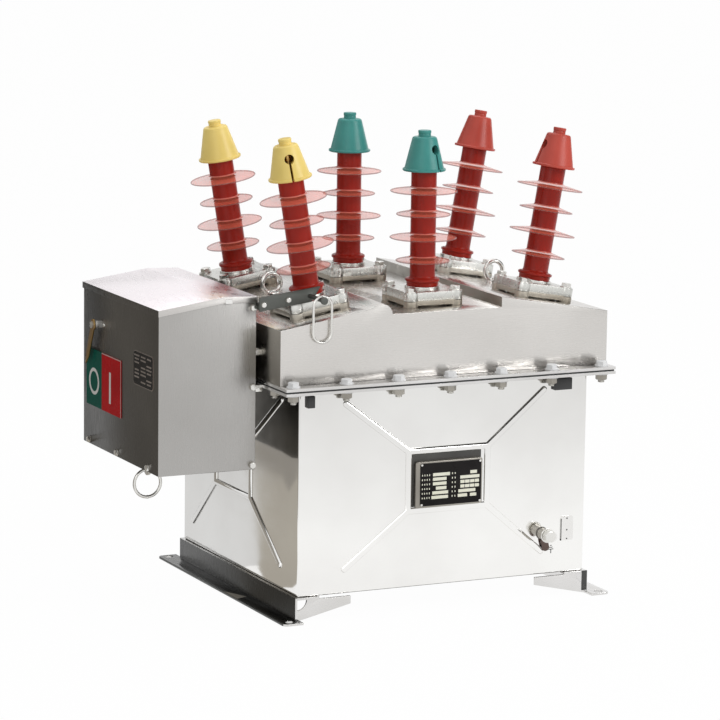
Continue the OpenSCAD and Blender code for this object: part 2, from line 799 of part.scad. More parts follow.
module small_tag() {
    x = tank_l / 2 - tag_edge - tag_w / 2;
    color("silver") translate([x, -tank_w / 2 - tag_t, tank_z + tag_z - tag_h / 2])
        cube([tag_w, tag_t, tag_h]);
}

module earth_boss() {
    color("gold") translate([tank_l / 2 - earth_edge, -tank_w / 2, tank_z + earth_z]) rotate([90, 0, 0]) {
        cylinder(h = earth_boss_l, d = earth_boss_d);
        translate([0, 0, earth_boss_l - eps]) cylinder(h = earth_washer_t, d = 2 * earth_d);
        translate([0, 0, earth_boss_l + earth_washer_t - eps]) hex_bar(earth_af, 0.65 * earth_d);
    }
}

// Blocks on the tank's front wall right under its flange
module flange_pads() {
    color("dimgray") {
        translate([-tank_l / 2 + tank_corner_r, -tank_w / 2 - pad_t, tank_top - pad_drop - pad_h])
            cube([pad_left_l, pad_t, pad_h]);
        translate([tank_l / 2 - pad_right_x - pad_right_l, -tank_w / 2 - pad_t, tank_top - pad_drop - pad_h])
            cube([pad_right_l, pad_t, pad_h]);
    }
}

module lifting_eye(side) {
    r = (eye_d - eye_wire) / 2;
    color("lightgray") translate([side * roof_x, 0, roof_z(roof_x)]) rotate([0, side * roof_tilt, 0]) {
        cylinder(h = eye_shoulder_h, d = eye_shoulder_d);
        translate([0, 0, eye_shoulder_h + r]) rotate([90, 0, 0])
            rotate_extrude() translate([r, 0]) circle(d = eye_wire, $fn = hole_fn);
    }
}

// Flat strap from the box to the left front clamp, with the pin that carries the link
strap_x = box_x1 - strap_lap;
strap_back = -phase_y - clamp_pitch / 2 - clamp_bolt_af / 2 - touch;
clamp_top = clamp_low_t + clamp_up_t;
rest_x = -phase_x - strap_rest;
rest_z = roof_z(roof_x) + clamp_top * cos(roof_tilt)
    + (rest_x + roof_x + clamp_top * sin(roof_tilt)) * tan(roof_tilt) + touch;
hang_x = -phase_x - link_x;
hang_y = -cover_w / 2 - link_gap - link_wire / 2;
hang_z = roof_z(roof_x) + link_pin_z;

module hanger_strap() {
    fall = (rest_x - strap_x) * tan(strap_tilt);
    rise = strap_slant * tan(strap_tilt);
    reach = strap_back - strap_t - hang_y + link_wire;
    color("dimgray") {
        translate([0, strap_back, 0]) rotate([90, 0, 0]) linear_extrude(strap_t) polygon([
            [rest_x, rest_z], [rest_x + strap_slant, rest_z + rise + strap_h],
            [strap_x, rest_z - fall + strap_h], [strap_x, rest_z - fall]]);
        translate([box_x1, strap_back - eps, rest_z - fall + 1])
            cube([strap_tab_t, strap_tab_l, strap_tab_h]);
        translate([hang_x, strap_back - strap_t + eps, hang_z]) rotate([90, 0, 0]) {
            cylinder(h = reach, d = link_pin_d);
            translate([0, 0, reach - eps]) cylinder(h = pin_head_t, d = link_pin_d + pin_head_over);
        }
    }
}

module hanging_link() {
    r = (link_w + link_wire) / 2;
    run = link_l - link_w;
    top_z = hang_z + link_pin_d / 2 + touch - link_w / 2;
    color("silver") translate([hang_x, hang_y, top_z]) rotate([90, 0, 0]) {
        rotate_extrude(angle = 180) translate([r, 0]) circle(d = link_wire, $fn = hole_fn);
        translate([0, -run, 0]) rotate([0, 0, 180])
            rotate_extrude(angle = 180) translate([r, 0]) circle(d = link_wire, $fn = hole_fn);
        for (x = [-r, r]) translate([x, 0, 0]) rotate([90, 0, 0])
            cylinder(h = run, d = link_wire, $fn = hole_fn);
    }
}

ear_x = box_x0 + pull_x;
ear_hole_z = box_z - ear_drop;

module pull_ear() {
    color("gray") translate([ear_x - ear_t / 2, -pull_y, 0]) difference() {
        union() {
            translate([0, -ear_w / 2, ear_hole_z]) cube([ear_t, ear_w, box_z - ear_hole_z]);
            translate([0, 0, ear_hole_z]) rotate([0, 90, 0]) cylinder(h = ear_t, d = ear_w);
        }
        translate([-1, 0, ear_hole_z]) rotate([0, 90, 0]) cylinder(h = ear_t + 2, d = ear_hole_d);
    }
}

module pull_ring() {
    r = (pull_d - pull_wire) / 2;
    hang = (ear_hole_d - pull_wire) / 2 - touch;
    color("silver") translate([ear_x, -pull_y, ear_hole_z - hang - r]) rotate([90, 0, 0])
        rotate_extrude() translate([r, 0]) circle(d = pull_wire, $fn = hole_fn);
}

base_member(-1);  // base_member_left
base_member(1);  // base_member_right
tank_shell();
tank_flange();
gasket();
cover_flange();
cover_shell();
flange_bolts();
clamp(-1, -1);  // clamp_left_front
clamp(-1, 1);  // clamp_left_rear
clamp(0, -1);  // clamp_centre_front
clamp(0, 1);  // clamp_centre_rear
clamp(1, -1);  // clamp_right_front
clamp(1, 1);  // clamp_right_rear
bushing(-1, -1);  // bushing_left_front
bushing(-1, 1);  // bushing_left_rear
bushing(0, -1);  // bushing_centre_front
bushing(0, 1);  // bushing_centre_rear
bushing(1, -1);  // bushing_right_front
bushing(1, 1);  // bushing_right_rear
cap(-1, -1, "khaki", cap_turns[0]);  // cap_left_front
cap(-1, 1, "khaki", 0);  // cap_left_rear
cap(0, -1, "cadetblue", cap_turns[1]);  // cap_centre_front
cap(0, 1, "cadetblue", 0);  // cap_centre_rear
cap(1, -1, "indianred", cap_turns[2]);  // cap_right_front
cap(1, 1, "indianred", 0);  // cap_right_rear
mechanism_box();
mechanism_lid();
box_spacers();
status_plate_open();
status_plate_closed();
pointer_pin();
pointer();
rating_plate();
plate_block();
small_tag();
earth_boss();
flange_pads();
lifting_eye(-1);  // lifting_eye_left
lifting_eye(1);  // lifting_eye_right
hanger_strap();
hanging_link();
pull_ear();
pull_ring();
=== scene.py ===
import json
import math
import bmesh
import bpy
from mathutils import Matrix, Vector


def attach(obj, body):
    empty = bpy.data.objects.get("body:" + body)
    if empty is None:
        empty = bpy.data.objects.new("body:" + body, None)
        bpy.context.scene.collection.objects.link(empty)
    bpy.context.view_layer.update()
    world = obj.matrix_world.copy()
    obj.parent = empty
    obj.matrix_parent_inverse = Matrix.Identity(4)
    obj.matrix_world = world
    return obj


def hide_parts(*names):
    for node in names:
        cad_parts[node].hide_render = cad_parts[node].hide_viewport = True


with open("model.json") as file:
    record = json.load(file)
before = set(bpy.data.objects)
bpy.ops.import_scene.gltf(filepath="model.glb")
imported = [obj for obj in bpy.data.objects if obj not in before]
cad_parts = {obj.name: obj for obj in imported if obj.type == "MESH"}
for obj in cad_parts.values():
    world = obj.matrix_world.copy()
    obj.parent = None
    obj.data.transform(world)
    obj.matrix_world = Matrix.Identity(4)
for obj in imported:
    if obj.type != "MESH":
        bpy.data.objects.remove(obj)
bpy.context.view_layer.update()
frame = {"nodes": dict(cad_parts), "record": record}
nodes = frame["nodes"]
bpy.ops.object.select_all(action="DESELECT")
print("frame loaded:", len(nodes), "nodes")

mm = 0.001

# Camera, as it stood for the photograph
cameraSettings = {
    "pan": 25.6, "pitch": 9.9, "roll": 0.8,
    "distance": 6.5934, "target": (-0.0461, 0.0, 0.402), "lens": 183.23, "sensor": 36, "clip": (0.1, 100),
}


def makeCamera(s):
    pan, pitch, roll = (math.radians(s[k]) for k in ("pan", "pitch", "roll"))
    forward = Vector((math.sin(pan) * math.cos(pitch), math.cos(pan) * math.cos(pitch), -math.sin(pitch)))
    level = Vector((math.cos(pan), -math.sin(pan), 0.0))
    upright = level.cross(forward)
    right = level * math.cos(roll) + upright * math.sin(roll)
    up = upright * math.cos(roll) - level * math.sin(roll)
    bpy.ops.object.camera_add(location=Vector(s["target"]) - forward * s["distance"])
    camera = bpy.context.object
    turn = Matrix((right, up, -forward)).transposed()
    camera.rotation_euler = turn.to_euler()
    camera.data.lens = s["lens"]
    camera.data.sensor_width = s["sensor"]
    camera.data.clip_start, camera.data.clip_end = s["clip"]
    bpy.context.scene.camera = camera


# Pale floor and sky, soft lamps, and cards that only reflections see
squareOn, sideOn, flat = (90, 0, cameraSettings["pan"]), (90, 0, 90), (0, 0, 0)
studioSettings = {
    "floorColor": (0.86, 0.86, 0.85), "floorRoughness": 0.9, "floorGlow": 0.98, "floorSize": 40,
    "skyColor": (0.86, 0.87, 0.88), "skyStrength": 0.5,
    "lamps": {  # place, size and power
        "keyLamp": ((2.6, -3.4, 3.2), 2.2, 110),
        "fillLamp": ((-2.8, -3.0, 2.4), 2.0, 15),
        "topLamp": ((0.3, 0.8, 3.6), 2.4, 35),
    },
    "lampsAimAt": (0, 0, 0.4),
    "cards": {  # place, size, turn, and a grey or a colour
        "boxCard": ((-1.62, 0.66, 0.45), (1.6, 0.9), squareOn, 0.2),
        "tankCard": ((-0.74, 1.08, 0.42), (0.36, 0.56), squareOn, 0.035),
        "boxSideCard": ((-0.75, 0.44, 0.36), (1.12, 0.72), sideOn, (0.30, 0.28, 0.25)),
        "beadCard": ((-0.47, 1.1, 0.72), (0.34, 0.5), squareOn, 0.05),
        "roofCard": ((0.075, 0.62, 0.97), (0.35, 0.46), squareOn, 0.1),
        "ceilingCard": ((0.85, -1.15, 1.9), (2.1, 2.5), flat, 0.05),
        "rightCard": ((1.6, -0.3, 1.3), (1.8, 1.2), sideOn, 0.05),
        "floorCard": ((-0.62, 0.85, 0.002), (0.7, 1.5), flat, 0.72),
        "tanCard": ((-0.738, 0.665, 0.004), (0.24, 1.7), (0, 0, 22.95), (0.42, 0.39, 0.34)),
        "middleCard": ((-0.899, 1.313, 0.004), (0.0675, 0.75), (0, 0, 25.8), (0.38, 0.36, 0.33)),
    },
}


def newest(name):
    # The piece that was just added, under its name
    obj = bpy.context.object
    obj.name = name
    return obj


def addNode(tree, kind, **values):
    node = tree.nodes.new(kind)
    for key, value in values.items():
        node.inputs[key].default_value = value
    return node


def wire(tree, *links):
    for source, target in links:
        tree.links.new(source, target)


def seenDirectly(tree):
    # 1 for rays from the camera, from gloss and through glass
    path = tree.nodes.new("ShaderNodeLightPath")
    total = path.outputs["Is Camera Ray"]
    for kind in ("Is Glossy Ray", "Is Transmission Ray"):
        add = tree.nodes.new("ShaderNodeMath")
        add.operation = "ADD"
        add.use_clamp = True
        wire(tree, (total, add.inputs[0]), (path.outputs[kind], add.inputs[1]))
        total = add.outputs[0]
    return total


def startMaterial(name, color, metallic, roughness):
    mat = bpy.data.materials.new(name)
    mat.use_nodes = True
    shader = mat.node_tree.nodes["Principled BSDF"]
    shader.inputs["Base Color"].default_value = (*color, 1)
    shader.inputs["Metallic"].default_value = metallic
    shader.inputs["Roughness"].default_value = roughness
    return mat, mat.node_tree, shader


def makeFloor(s):
    bpy.ops.mesh.primitive_plane_add(size=s["floorSize"], location=(0, 0, 0))
    floor = newest("floor")
    mat, tree, shader = startMaterial("floorPaint", s["floorColor"], 0, s["floorRoughness"])
    glow = addNode(tree, "ShaderNodeEmission", Color=(1, 1, 1, 1))
    share = tree.nodes.new("ShaderNodeMath")
    share.operation = "MULTIPLY"
    share.inputs[1].default_value = s["floorGlow"]
    mix = tree.nodes.new("ShaderNodeMixShader")
    wire(tree, (seenDirectly(tree), share.inputs[0]), (share.outputs[0], mix.inputs[0]),
         (shader.outputs[0], mix.inputs[1]), (glow.outputs[0], mix.inputs[2]),
         (mix.outputs[0], tree.nodes["Material Output"].inputs[0]))
    floor.data.materials.append(mat)


def makeCard(name, place, size, turn, shade):
    bpy.ops.mesh.primitive_plane_add(size=1, location=place)
    card = newest(name)
    card.scale = (*size, 1)
    card.rotation_euler = [math.radians(angle) for angle in turn]
    card.visible_camera = card.visible_diffuse = card.visible_shadow = card.visible_transmission = False
    mat = bpy.data.materials.new(name + "Cloth")
    mat.use_nodes = True
    tree = mat.node_tree
    tone = shade if isinstance(shade, tuple) else (shade, shade, shade)
    glow = addNode(tree, "ShaderNodeEmission", Color=(*tone, 1))
    tree.links.new(glow.outputs[0], tree.nodes["Material Output"].inputs[0])
    card.data.materials.append(mat)


def makeSky(s):
    world = bpy.data.worlds.new("studio")
    bpy.context.scene.world = world
    world.use_nodes = True
    tree = world.node_tree
    back = tree.nodes["Background"]
    back.inputs["Color"].default_value = (*s["skyColor"], 1)
    back.inputs["Strength"].default_value = s["skyStrength"]
    white = addNode(tree, "ShaderNodeBackground", Color=(1, 1, 1, 1))
    mix = tree.nodes.new("ShaderNodeMixShader")
    wire(tree, (seenDirectly(tree), mix.inputs[0]), (back.outputs[0], mix.inputs[1]),
         (white.outputs[0], mix.inputs[2]), (mix.outputs[0], tree.nodes["World Output"].inputs[0]))


def makeLamps(s):
    for name, (place, size, power) in s["lamps"].items():
        bpy.ops.object.light_add(type="AREA", location=place)
        lamp = newest(name)
        lamp.data.energy = power
        lamp.data.size = size
        aim = Vector(s["lampsAimAt"]) - Vector(place)
        lamp.rotation_euler = aim.to_track_quat("-Z", "Y").to_euler()


makeCamera(cameraSettings)
makeFloor(studioSettings)
for name, card in studioSettings["cards"].items():
    makeCard(name, *card)
makeSky(studioSettings)
makeLamps(studioSettings)
bpy.context.scene.view_settings.view_transform = "Standard"
print("camera and studio ready")


# Materials
def noiseOn(tree, scale, detail, stretch=(1, 1, 1)):
    place = tree.nodes.new("ShaderNodeTexCoord")
    mapping = addNode(tree, "ShaderNodeMapping", Scale=stretch)
    noise = addNode(tree, "ShaderNodeTexNoise", Scale=scale, Detail=detail)
    wire(tree, (place.outputs["Object"], mapping.inputs["Vector"]), (mapping.outputs[0], noise.inputs["Vector"]))
    return noise.outputs[0]


def between(tree, value, low, high, fromLow=0.3, fromHigh=0.7):
    ends = {"From Min": fromLow, "From Max": fromHigh, "To Min": low, "To Max": high}
    span = addNode(tree, "ShaderNodeMapRange", **ends)
    tree.links.new(value, span.inputs["Value"])
    return span.outputs[0]


def mixColors(tree, value, first, second, low=0.35, high=0.65):
    ramp = tree.nodes.new("ShaderNodeValToRGB")
    for stop, position, color in zip(ramp.color_ramp.elements, (low, high), (first, second)):
        stop.position = position
        stop.color = (*color, 1)
    tree.links.new(value, ramp.inputs[0])
    return ramp.outputs[0]


def bumpOn(tree, shader, value, strength, distance):
    bump = addNode(tree, "ShaderNodeBump", Strength=strength, Distance=distance)
    wire(tree, (value, bump.inputs["Height"]), (bump.outputs[0], shader.inputs["Normal"]))


# Noise on the surfaces: scale and detail, the reach of its bumps, and how far rubber's roughness goes
noiseSettings = {
    "smudge": (5, 5), "grainDetail": 3, "grainReach": 0.0005,
    "cloud": (14, 5), "pores": (900, 2), "poreDepth": 0.06, "poreReach": 0.0003, "smoother": 0.05, "rougher": 0.06,
}


def steelSheet(name, color, dull, roughness, spread, grain=(1, 1, 60), grainScale=30, bump=0.05):
    s = noiseSettings
    mat, tree, shader = startMaterial(name, color, 1.0, roughness)
    smudge = noiseOn(tree, *s["smudge"])
    tree.links.new(mixColors(tree, smudge, dull, color), shader.inputs["Base Color"])
    lines = noiseOn(tree, grainScale, s["grainDetail"], grain)
    tree.links.new(between(tree, lines, roughness - spread, roughness + spread), shader.inputs["Roughness"])
    bumpOn(tree, shader, lines, bump, s["grainReach"])
    return mat


def rubberSkin(name, color, shade, roughness, gloss=0.5, cover=1.0):
    s = noiseSettings
    mat, tree, shader = startMaterial(name, color, 0.0, roughness)
    shader.inputs["Specular IOR Level"].default_value = gloss
    shader.inputs["Alpha"].default_value = cover
    cloud = noiseOn(tree, *s["cloud"])
    tree.links.new(mixColors(tree, cloud, shade, color), shader.inputs["Base Color"])
    pores = noiseOn(tree, *s["pores"])
    span = between(tree, cloud, roughness - s["smoother"], roughness + s["rougher"])
    tree.links.new(span, shader.inputs["Roughness"])
    bumpOn(tree, shader, pores, s["poreDepth"], s["poreReach"])
    return mat


def paintShadeAlong(mat, way, low, high, share):
    # Paints shade into a colour: it grows darker towards one side of the object
    tree = mat.node_tree
    shader = tree.nodes["Principled BSDF"]
    place = tree.nodes.new("ShaderNodeTexCoord")
    reach = tree.nodes.new("ShaderNodeVectorMath")
    reach.operation = "DOT_PRODUCT"
    reach.inputs[1].default_value = way
    tree.links.new(place.outputs["Object"], reach.inputs[0])
    fade = tree.nodes.new("ShaderNodeVectorMath")
    fade.operation = "SCALE"
    tree.links.new(shader.inputs["Base Color"].links[0].from_socket, fade.inputs[0])
    tree.links.new(between(tree, reach.outputs["Value"], 1.0, share, low, high), fade.inputs["Scale"])
    tree.links.new(fade.outputs[0], shader.inputs["Base Color"])


# Name, colour, duller shade, roughness and its spread, and the grain's stretch, scale and depth
even, upright = (1, 1, 1), (40, 40, 1)
steelLooks = {
    "tank": ("mirrorSteel", (0.93, 0.925, 0.905), (0.86, 0.85, 0.83), 0.1, 0.03, (1, 1, 3), 9),
    "cover": ("brushedSteel", (0.67, 0.65, 0.625), (0.62, 0.6, 0.575), 0.25, 0.04, (1, 1, 60), 30, 0.015),
    "flange": ("machinedSteel", (0.72, 0.71, 0.7), (0.6, 0.59, 0.575), 0.28, 0.08),
    # Painted shade for faces that look down or sit in shade: the flange's and the box's undersides, the box's right
    # side, the tank's hem and the earth bolt's foot
    "underside": ("paintedShadeSteel", (0.16, 0.15, 0.135), (0.1, 0.095, 0.085), 0.45, 0.08, even, 40, 0.1),
    "base": ("bentSteel", (0.74, 0.73, 0.72), (0.64, 0.63, 0.61), 0.24, 0.06),
    # Painted shade for the base's outer webs, the left foot and the small fold at the right end
    "baseShade": ("paintedShadeBaseSteel", (0.088, 0.088, 0.086), (0.06, 0.06, 0.058), 0.3, 0.08, (1, 60, 1)),
    "box": ("boxSteel", (0.45, 0.44, 0.425), (0.41, 0.4, 0.385), 0.3, 0.05, upright),
    # Painted shade for the left sides of the box and the lid
    "boxShade": ("boxSide", (0.185, 0.178, 0.17), (0.155, 0.149, 0.142), 0.3, 0.05, upright),
    "lidSkirt": ("skirtSteel", (0.64, 0.62, 0.6), (0.58, 0.56, 0.54), 0.3, 0.05),
    # Painted light: the lid's top is lighter than its skirt
    "lidTop": ("paintedLightLidTop", (0.91, 0.85, 0.88), (0.86, 0.81, 0.83), 0.3, 0.05),
    "casting": ("castAlloy", (0.56, 0.53, 0.47), (0.34, 0.3, 0.24), 0.5, 0.08, even, 300, 0.5),
    "clampTop": ("machinedAlloy", (0.74, 0.74, 0.71), (0.58, 0.58, 0.55), 0.3, 0.08, even, 200, 0.2),
    "zinc": ("zincSteel", (0.78, 0.77, 0.74), (0.66, 0.65, 0.62), 0.25, 0.06, even, 60, 0.1),
    # Dark steel of nuts, washers and the plate holder, and painted shade on the cover's faces that look left
    "nutSteelAndShade": ("nutSteelAndShade", (0.4, 0.38, 0.34), (0.26, 0.24, 0.21), 0.35, 0.08, even, 60, 0.1),
    "brass": ("wornBrass", (0.55, 0.36, 0.13), (0.3, 0.19, 0.08), 0.35, 0.1, even, 60, 0.1),
    "tag": ("tagSteel", (0.84, 0.83, 0.81), (0.74, 0.73, 0.71), 0.25, 0.05, (1, 1, 40), 30, 0.1),
    "strap": ("strapSteel", (0.135, 0.14, 0.13), (0.095, 0.1, 0.09), 0.45, 0.08, even, 80, 0.2),
    "lug": ("lugBrown", (0.13, 0.095, 0.085), (0.07, 0.05, 0.045), 0.4, 0.1, even, 80, 0.2),
}
# Name, colour, second shade, roughness, gloss and cover
rubberLooks = {
    "gasket": ("blackRubber", (0.03, 0.03, 0.03), (0.02, 0.02, 0.02), 0.6),
    "pad": ("padRubber", (0.05, 0.05, 0.05), (0.03, 0.03, 0.03), 0.5),
    # Dark paint of small marks and signs, and painted shade behind the plate block
    "backing": ("darkPaintAndShade", (0.07, 0.068, 0.062), (0.045, 0.043, 0.04), 0.4),
    "silicone": ("redSilicone", (0.36, 0.021, 0.011), (0.29, 0.017, 0.009), 0.28, 0.2),
    "shedSkin": ("shedSkin", (1.0, 0.25, 0.16), (0.93, 0.21, 0.13), 0.3, 0.3, 0.33),
    "shedRimShade": ("shedRimShade", (0.34, 0.11, 0.095), (0.27, 0.085, 0.07), 0.15, 0.5, 0.66),
    "shedRootHighlight": ("shedRootHighlight", (0.72, 0.2, 0.15), (0.62, 0.16, 0.12), 0.25),
    "cap_yellow": ("yellowRubber", (0.93, 0.72, 0.23), (0.84, 0.63, 0.18), 0.34, 0.3),
    "cap_green": ("greenRubber", (0.062, 0.3, 0.272), (0.048, 0.24, 0.218), 0.32, 0.3),
    "cap_red": ("redRubber", (0.55, 0.085, 0.06), (0.46, 0.065, 0.045), 0.34, 0.3),
    "status_green": ("greenEnamel", (0.006, 0.085, 0.06), (0.005, 0.07, 0.048), 0.25, 0.02),
    "status_red": ("redEnamel", (0.42, 0.008, 0.01), (0.34, 0.006, 0.008), 0.25, 0.02),
    "plate_black": ("blackEnamel", (0.018, 0.016, 0.016), (0.01, 0.009, 0.009), 0.25, 0.08),
    "paleField": ("palePaint", (0.84, 0.83, 0.7), (0.76, 0.75, 0.6), 0.4),
    "tanField": ("tanPaint", (0.26, 0.21, 0.17), (0.17, 0.14, 0.12), 0.4),
    "whiteSign": ("signPaint", (0.62, 0.6, 0.57), (0.54, 0.52, 0.49), 0.4),
    "edgeTrim": ("trimPaint", (0.46, 0.28, 0.26), (0.38, 0.22, 0.2), 0.4),
}
# Painted shade: way of the fade, where it starts and ends, and what is left of the colour there
# The tank is painted darker towards its top, the box's left side towards its rear and its bottom
paintedShadeLooks = {"tank": ((0, 0, 1), 0.12, 0.4, 0.82), "boxShade": ((0, 1, -1), -0.5, -0.25, 0.4)}

materials = {slot: steelSheet(*look) for slot, look in steelLooks.items()}
materials.update({slot: rubberSkin(*look) for slot, look in rubberLooks.items()})
for slot, fade in paintedShadeLooks.items():
    paintShadeAlong(materials[slot], *fade)
slotOf = {p["node"]: p["material_slot"] for p in frame["record"]["subparts"]}
for name, obj in nodes.items():
    obj.data.materials.clear()
    obj.data.materials.append(materials[slotOf[name]])
print("materials ready")


# Modelling helpers. Pieces are shaped in millimetres and brought to size when they are placed
def deselectAll():
    if bpy.context.object and bpy.context.object.mode != "OBJECT":
        bpy.ops.object.mode_set(mode="OBJECT")
    bpy.ops.object.select_all(action="DESELECT")


def activate(obj):
    deselectAll()
    obj.select_set(True)
    bpy.context.view_layer.objects.active = obj


def applyMoves(location=True, rotation=False, scale=False):
    bpy.ops.object.transform_apply(location=location, rotation=rotation, scale=scale)


def startEdit(obj):
    activate(obj)
    bpy.ops.object.mode_set(mode="EDIT")


def endEdit():
    bpy.ops.object.mode_set(mode="OBJECT")


def pick(kind, test):
    bpy.ops.mesh.select_mode(type=kind)
    bpy.ops.mesh.select_all(action="DESELECT")
    shape = bmesh.from_edit_mesh(bpy.context.object.data)
    for item in {"VERT": shape.verts, "EDGE": shape.edges, "FACE": shape.faces}[kind]:
        if test(item):
            item.select_set(True)
    bmesh.update_edit_mesh(bpy.context.object.data)


def along(axis):
    def parallel(edge):
        run = edge.verts[1].co - edge.verts[0].co
        return abs(run[axis]) > 0.99 * run.length
    return parallel


def faces(*ways):
    # Test for faces that look along one of the ways, such as "-z"
    signs = [("xyz".index(way[1]), -1 if way[0] == "-" else 1) for way in ways]
    return lambda face: any(sign * face.normal[axis] > 0.9 for axis, sign in signs)


def heightOf(face):
    return face.calc_center_median().z


def reachOf(face):
    return face.calc_center_median().xy.length


def block(name, size, center):
    deselectAll()
    bpy.ops.mesh.primitive_cube_add(size=1, location=center)
    obj = newest(name)
    obj.scale = size
    applyMoves(scale=True)
    return obj


def roundCorners(obj, radius, segments=6, axis=2):
    startEdit(obj)
    pick("EDGE", along(axis))
    bpy.ops.mesh.bevel(offset=radius, segments=segments, affect="EDGES")
    endEdit()


def turned(name, profile, sides=48):
    # Grows a closed round shape ring by ring from its lowest face
    deselectAll()
    bpy.ops.mesh.primitive_circle_add(vertices=sides, radius=profile[0][0], fill_type="NGON")
    obj = newest(name)
    obj.location.z = profile[0][1]
    applyMoves()
    bpy.ops.object.mode_set(mode="EDIT")
    bpy.ops.mesh.select_mode(type="FACE")
    bpy.ops.mesh.select_all(action="SELECT")
    for (r0, z0), (r1, z1) in zip(profile, profile[1:]):
        bpy.ops.mesh.extrude_region_move(TRANSFORM_OT_translate={"value": (0, 0, z1 - z0)})
        bpy.ops.transform.resize(value=(r1 / r0, r1 / r0, 1), center_override=(0, 0, 0))
    bpy.ops.mesh.select_all(action="SELECT")
    bpy.ops.mesh.normals_make_consistent(inside=False)
    endEdit()
    return obj


def bend(start, corner, end, steps=4):
    points = []
    for i in range(steps + 1):
        t = i / steps
        shares = ((1 - t) ** 2, 2 * t * (1 - t), t * t)
        points.append(tuple(sum(w * v for w, v in zip(shares, values)) for values in zip(start, corner, end)))
    return points


def roundEdge(r, z, radius, steps=4):
    # Outer top edge of a turned shape
    return bend((r, z - radius), (r, z), (r - radius, z), steps)


def offsets(r, z, steps):
    # Points of a profile, given by how far they are from one of its corners
    return [(r + out, z + up) for out, up in steps]


def rod(name, r, low, high, sides):
    return turned(name, [(r, low), (r, high)], sides)


def puck(name, r, low, high, edge, sides, steps=2):
    # Disc with a rounded upper edge
    return turned(name, [(r, low)] + roundEdge(r, high, edge, steps), sides)


def modify(obj, kind, **values):
    activate(obj)
    mod = obj.modifiers.new(kind.lower(), kind)
    for key, value in values.items():
        setattr(mod, key, value)
    bpy.ops.object.modifier_apply(modifier=mod.name)


def combine(obj, other, operation="UNION", selfCrossing=False):
    modify(obj, "BOOLEAN", object=other, operation=operation, solver="EXACT", use_self=selfCrossing)
    bpy.data.objects.remove(other)


def cut(obj, other):
    combine(obj, other, "DIFFERENCE")


def bored(obj, r, high=60, sides=64):
    cut(obj, rod("bore", r, -1, high, sides))


def softEdges(obj, width, segments=2, limit=35):
    modify(obj, "BEVEL", width=width, segments=segments, limit_method="ANGLE",
           angle_limit=math.radians(limit), miter_outer="MITER_ARC", use_clamp_overlap=True)


def joined(name, parts):
    deselectAll()
    for part in parts:
        part.select_set(True)
    bpy.context.view_layer.objects.active = parts[0]
    bpy.ops.object.join()
    parts[0].name = name
    return parts[0]


def copyOf(obj, name):
    twin = obj.copy()
    twin.data = obj.data.copy()
    twin.name = name
    bpy.context.scene.collection.objects.link(twin)
    return twin


def shift(obj, move=(0, 0, 0), turn=(0, 0, 0)):
    activate(obj)
    obj.location = move
    obj.rotation_euler = [math.radians(a) for a in turn]
    applyMoves(rotation=True)
    return obj


def coat(obj, slot):
    obj.data.materials.clear()
    obj.data.materials.append(materials[slot])


def coatFaces(obj, slot, test):
    # Gives the faces that pass the test a material of their own
    obj.data.materials.append(materials[slot])
    startEdit(obj)
    pick("FACE", test)
    obj.active_material_index = len(obj.data.materials) - 1
    bpy.ops.object.material_slot_assign()
    endEdit()


def tile(slot, width, height, thick, u=0, v=0, out=0, corner=0):
    # Flat piece that faces -Y, with its middle at u, v and its back at the given distance
    obj = block("tile", (width, thick, height), (u, -out - thick / 2, v))
    if corner:
        roundCorners(obj, corner, 4, 1)
    coat(obj, slot)
    return obj


def settle(obj, slot, *replaced, body="breaker", smooth=35, size=mm):
    # Brings a piece to its size, smooths it and hangs it on its body
    activate(obj)
    obj.scale = (size, size, size)
    applyMoves(rotation=True, scale=True)
    bpy.ops.object.shade_smooth_by_angle(angle=math.radians(smooth))
    if not obj.data.materials:
        coat(obj, slot)
    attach(obj, body)
    if replaced:
        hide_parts(*replaced)
    return obj


def rounded(node, width):
    # The solid of a node with its triangles merged and its edges eased
    piece = copyOf(nodes[node], node + "_sheet")
    for key in list(piece.keys()):
        del piece[key]
    piece.parent = None
    startEdit(piece)
    bpy.ops.mesh.select_all(action="SELECT")
    bpy.ops.mesh.remove_doubles(threshold=0.00001)
    bpy.ops.mesh.dissolve_limited(angle_limit=math.radians(0.5))
    endEdit()
    softEdges(piece, width * mm, 2, 30)
    return settle(piece, slotOf[node], node, size=1)


# Roof of the cover, and the seats of what stands on it
roofSettings = {
    "halfLength": 318, "wallTop": 510, "tilt": 9.7, "dipX": 106, "dipDepth": 18.5,
    "phaseX": 223, "phaseY": 153, "stack": 31,
}


def roofHeight(s, x):
    return s["wallTop"] + (s["halfLength"] - abs(x)) * math.tan(math.radians(s["tilt"]))


def seatOn(s, side, row):
    x = side * (s["phaseX"] - s["stack"] * math.sin(math.radians(s["tilt"])))
    z = roofHeight(s, x) if side else roofHeight(s, s["dipX"]) - s["dipDepth"]
    return (x, row * s["phaseY"], z), (0, side * s["tilt"], 0)


phases = {"left": -1, "centre": 0, "right": 1}
rows = {"front": -1, "rear": 1}

# Bushings: collar, core and four sheds with thin round rims
bushingSettings = {
    "shank": 28, "shankDepth": 56, "collar": 30.5, "collarFoot": 27.5, "collarHeight": 13,
    "flare": (0.45, 0.6, 0.62), "lip": 0.8, "edge": 1.5, "core": 22.5, "length": 202, "stud": 8, "studLength": 44,
    "firstShed": 42, "pitch": 41, "shedRadii": (48, 59, 48, 59),
    "droop": 5, "rim": 2.4, "rimReach": 2.2, "root": 5, "fillet": 2.5,
    "skinOut": 0.8, "skinUp": 6, "rootOut": 0.05, "rootUp": 10, "rootSlope": 0.35,
}


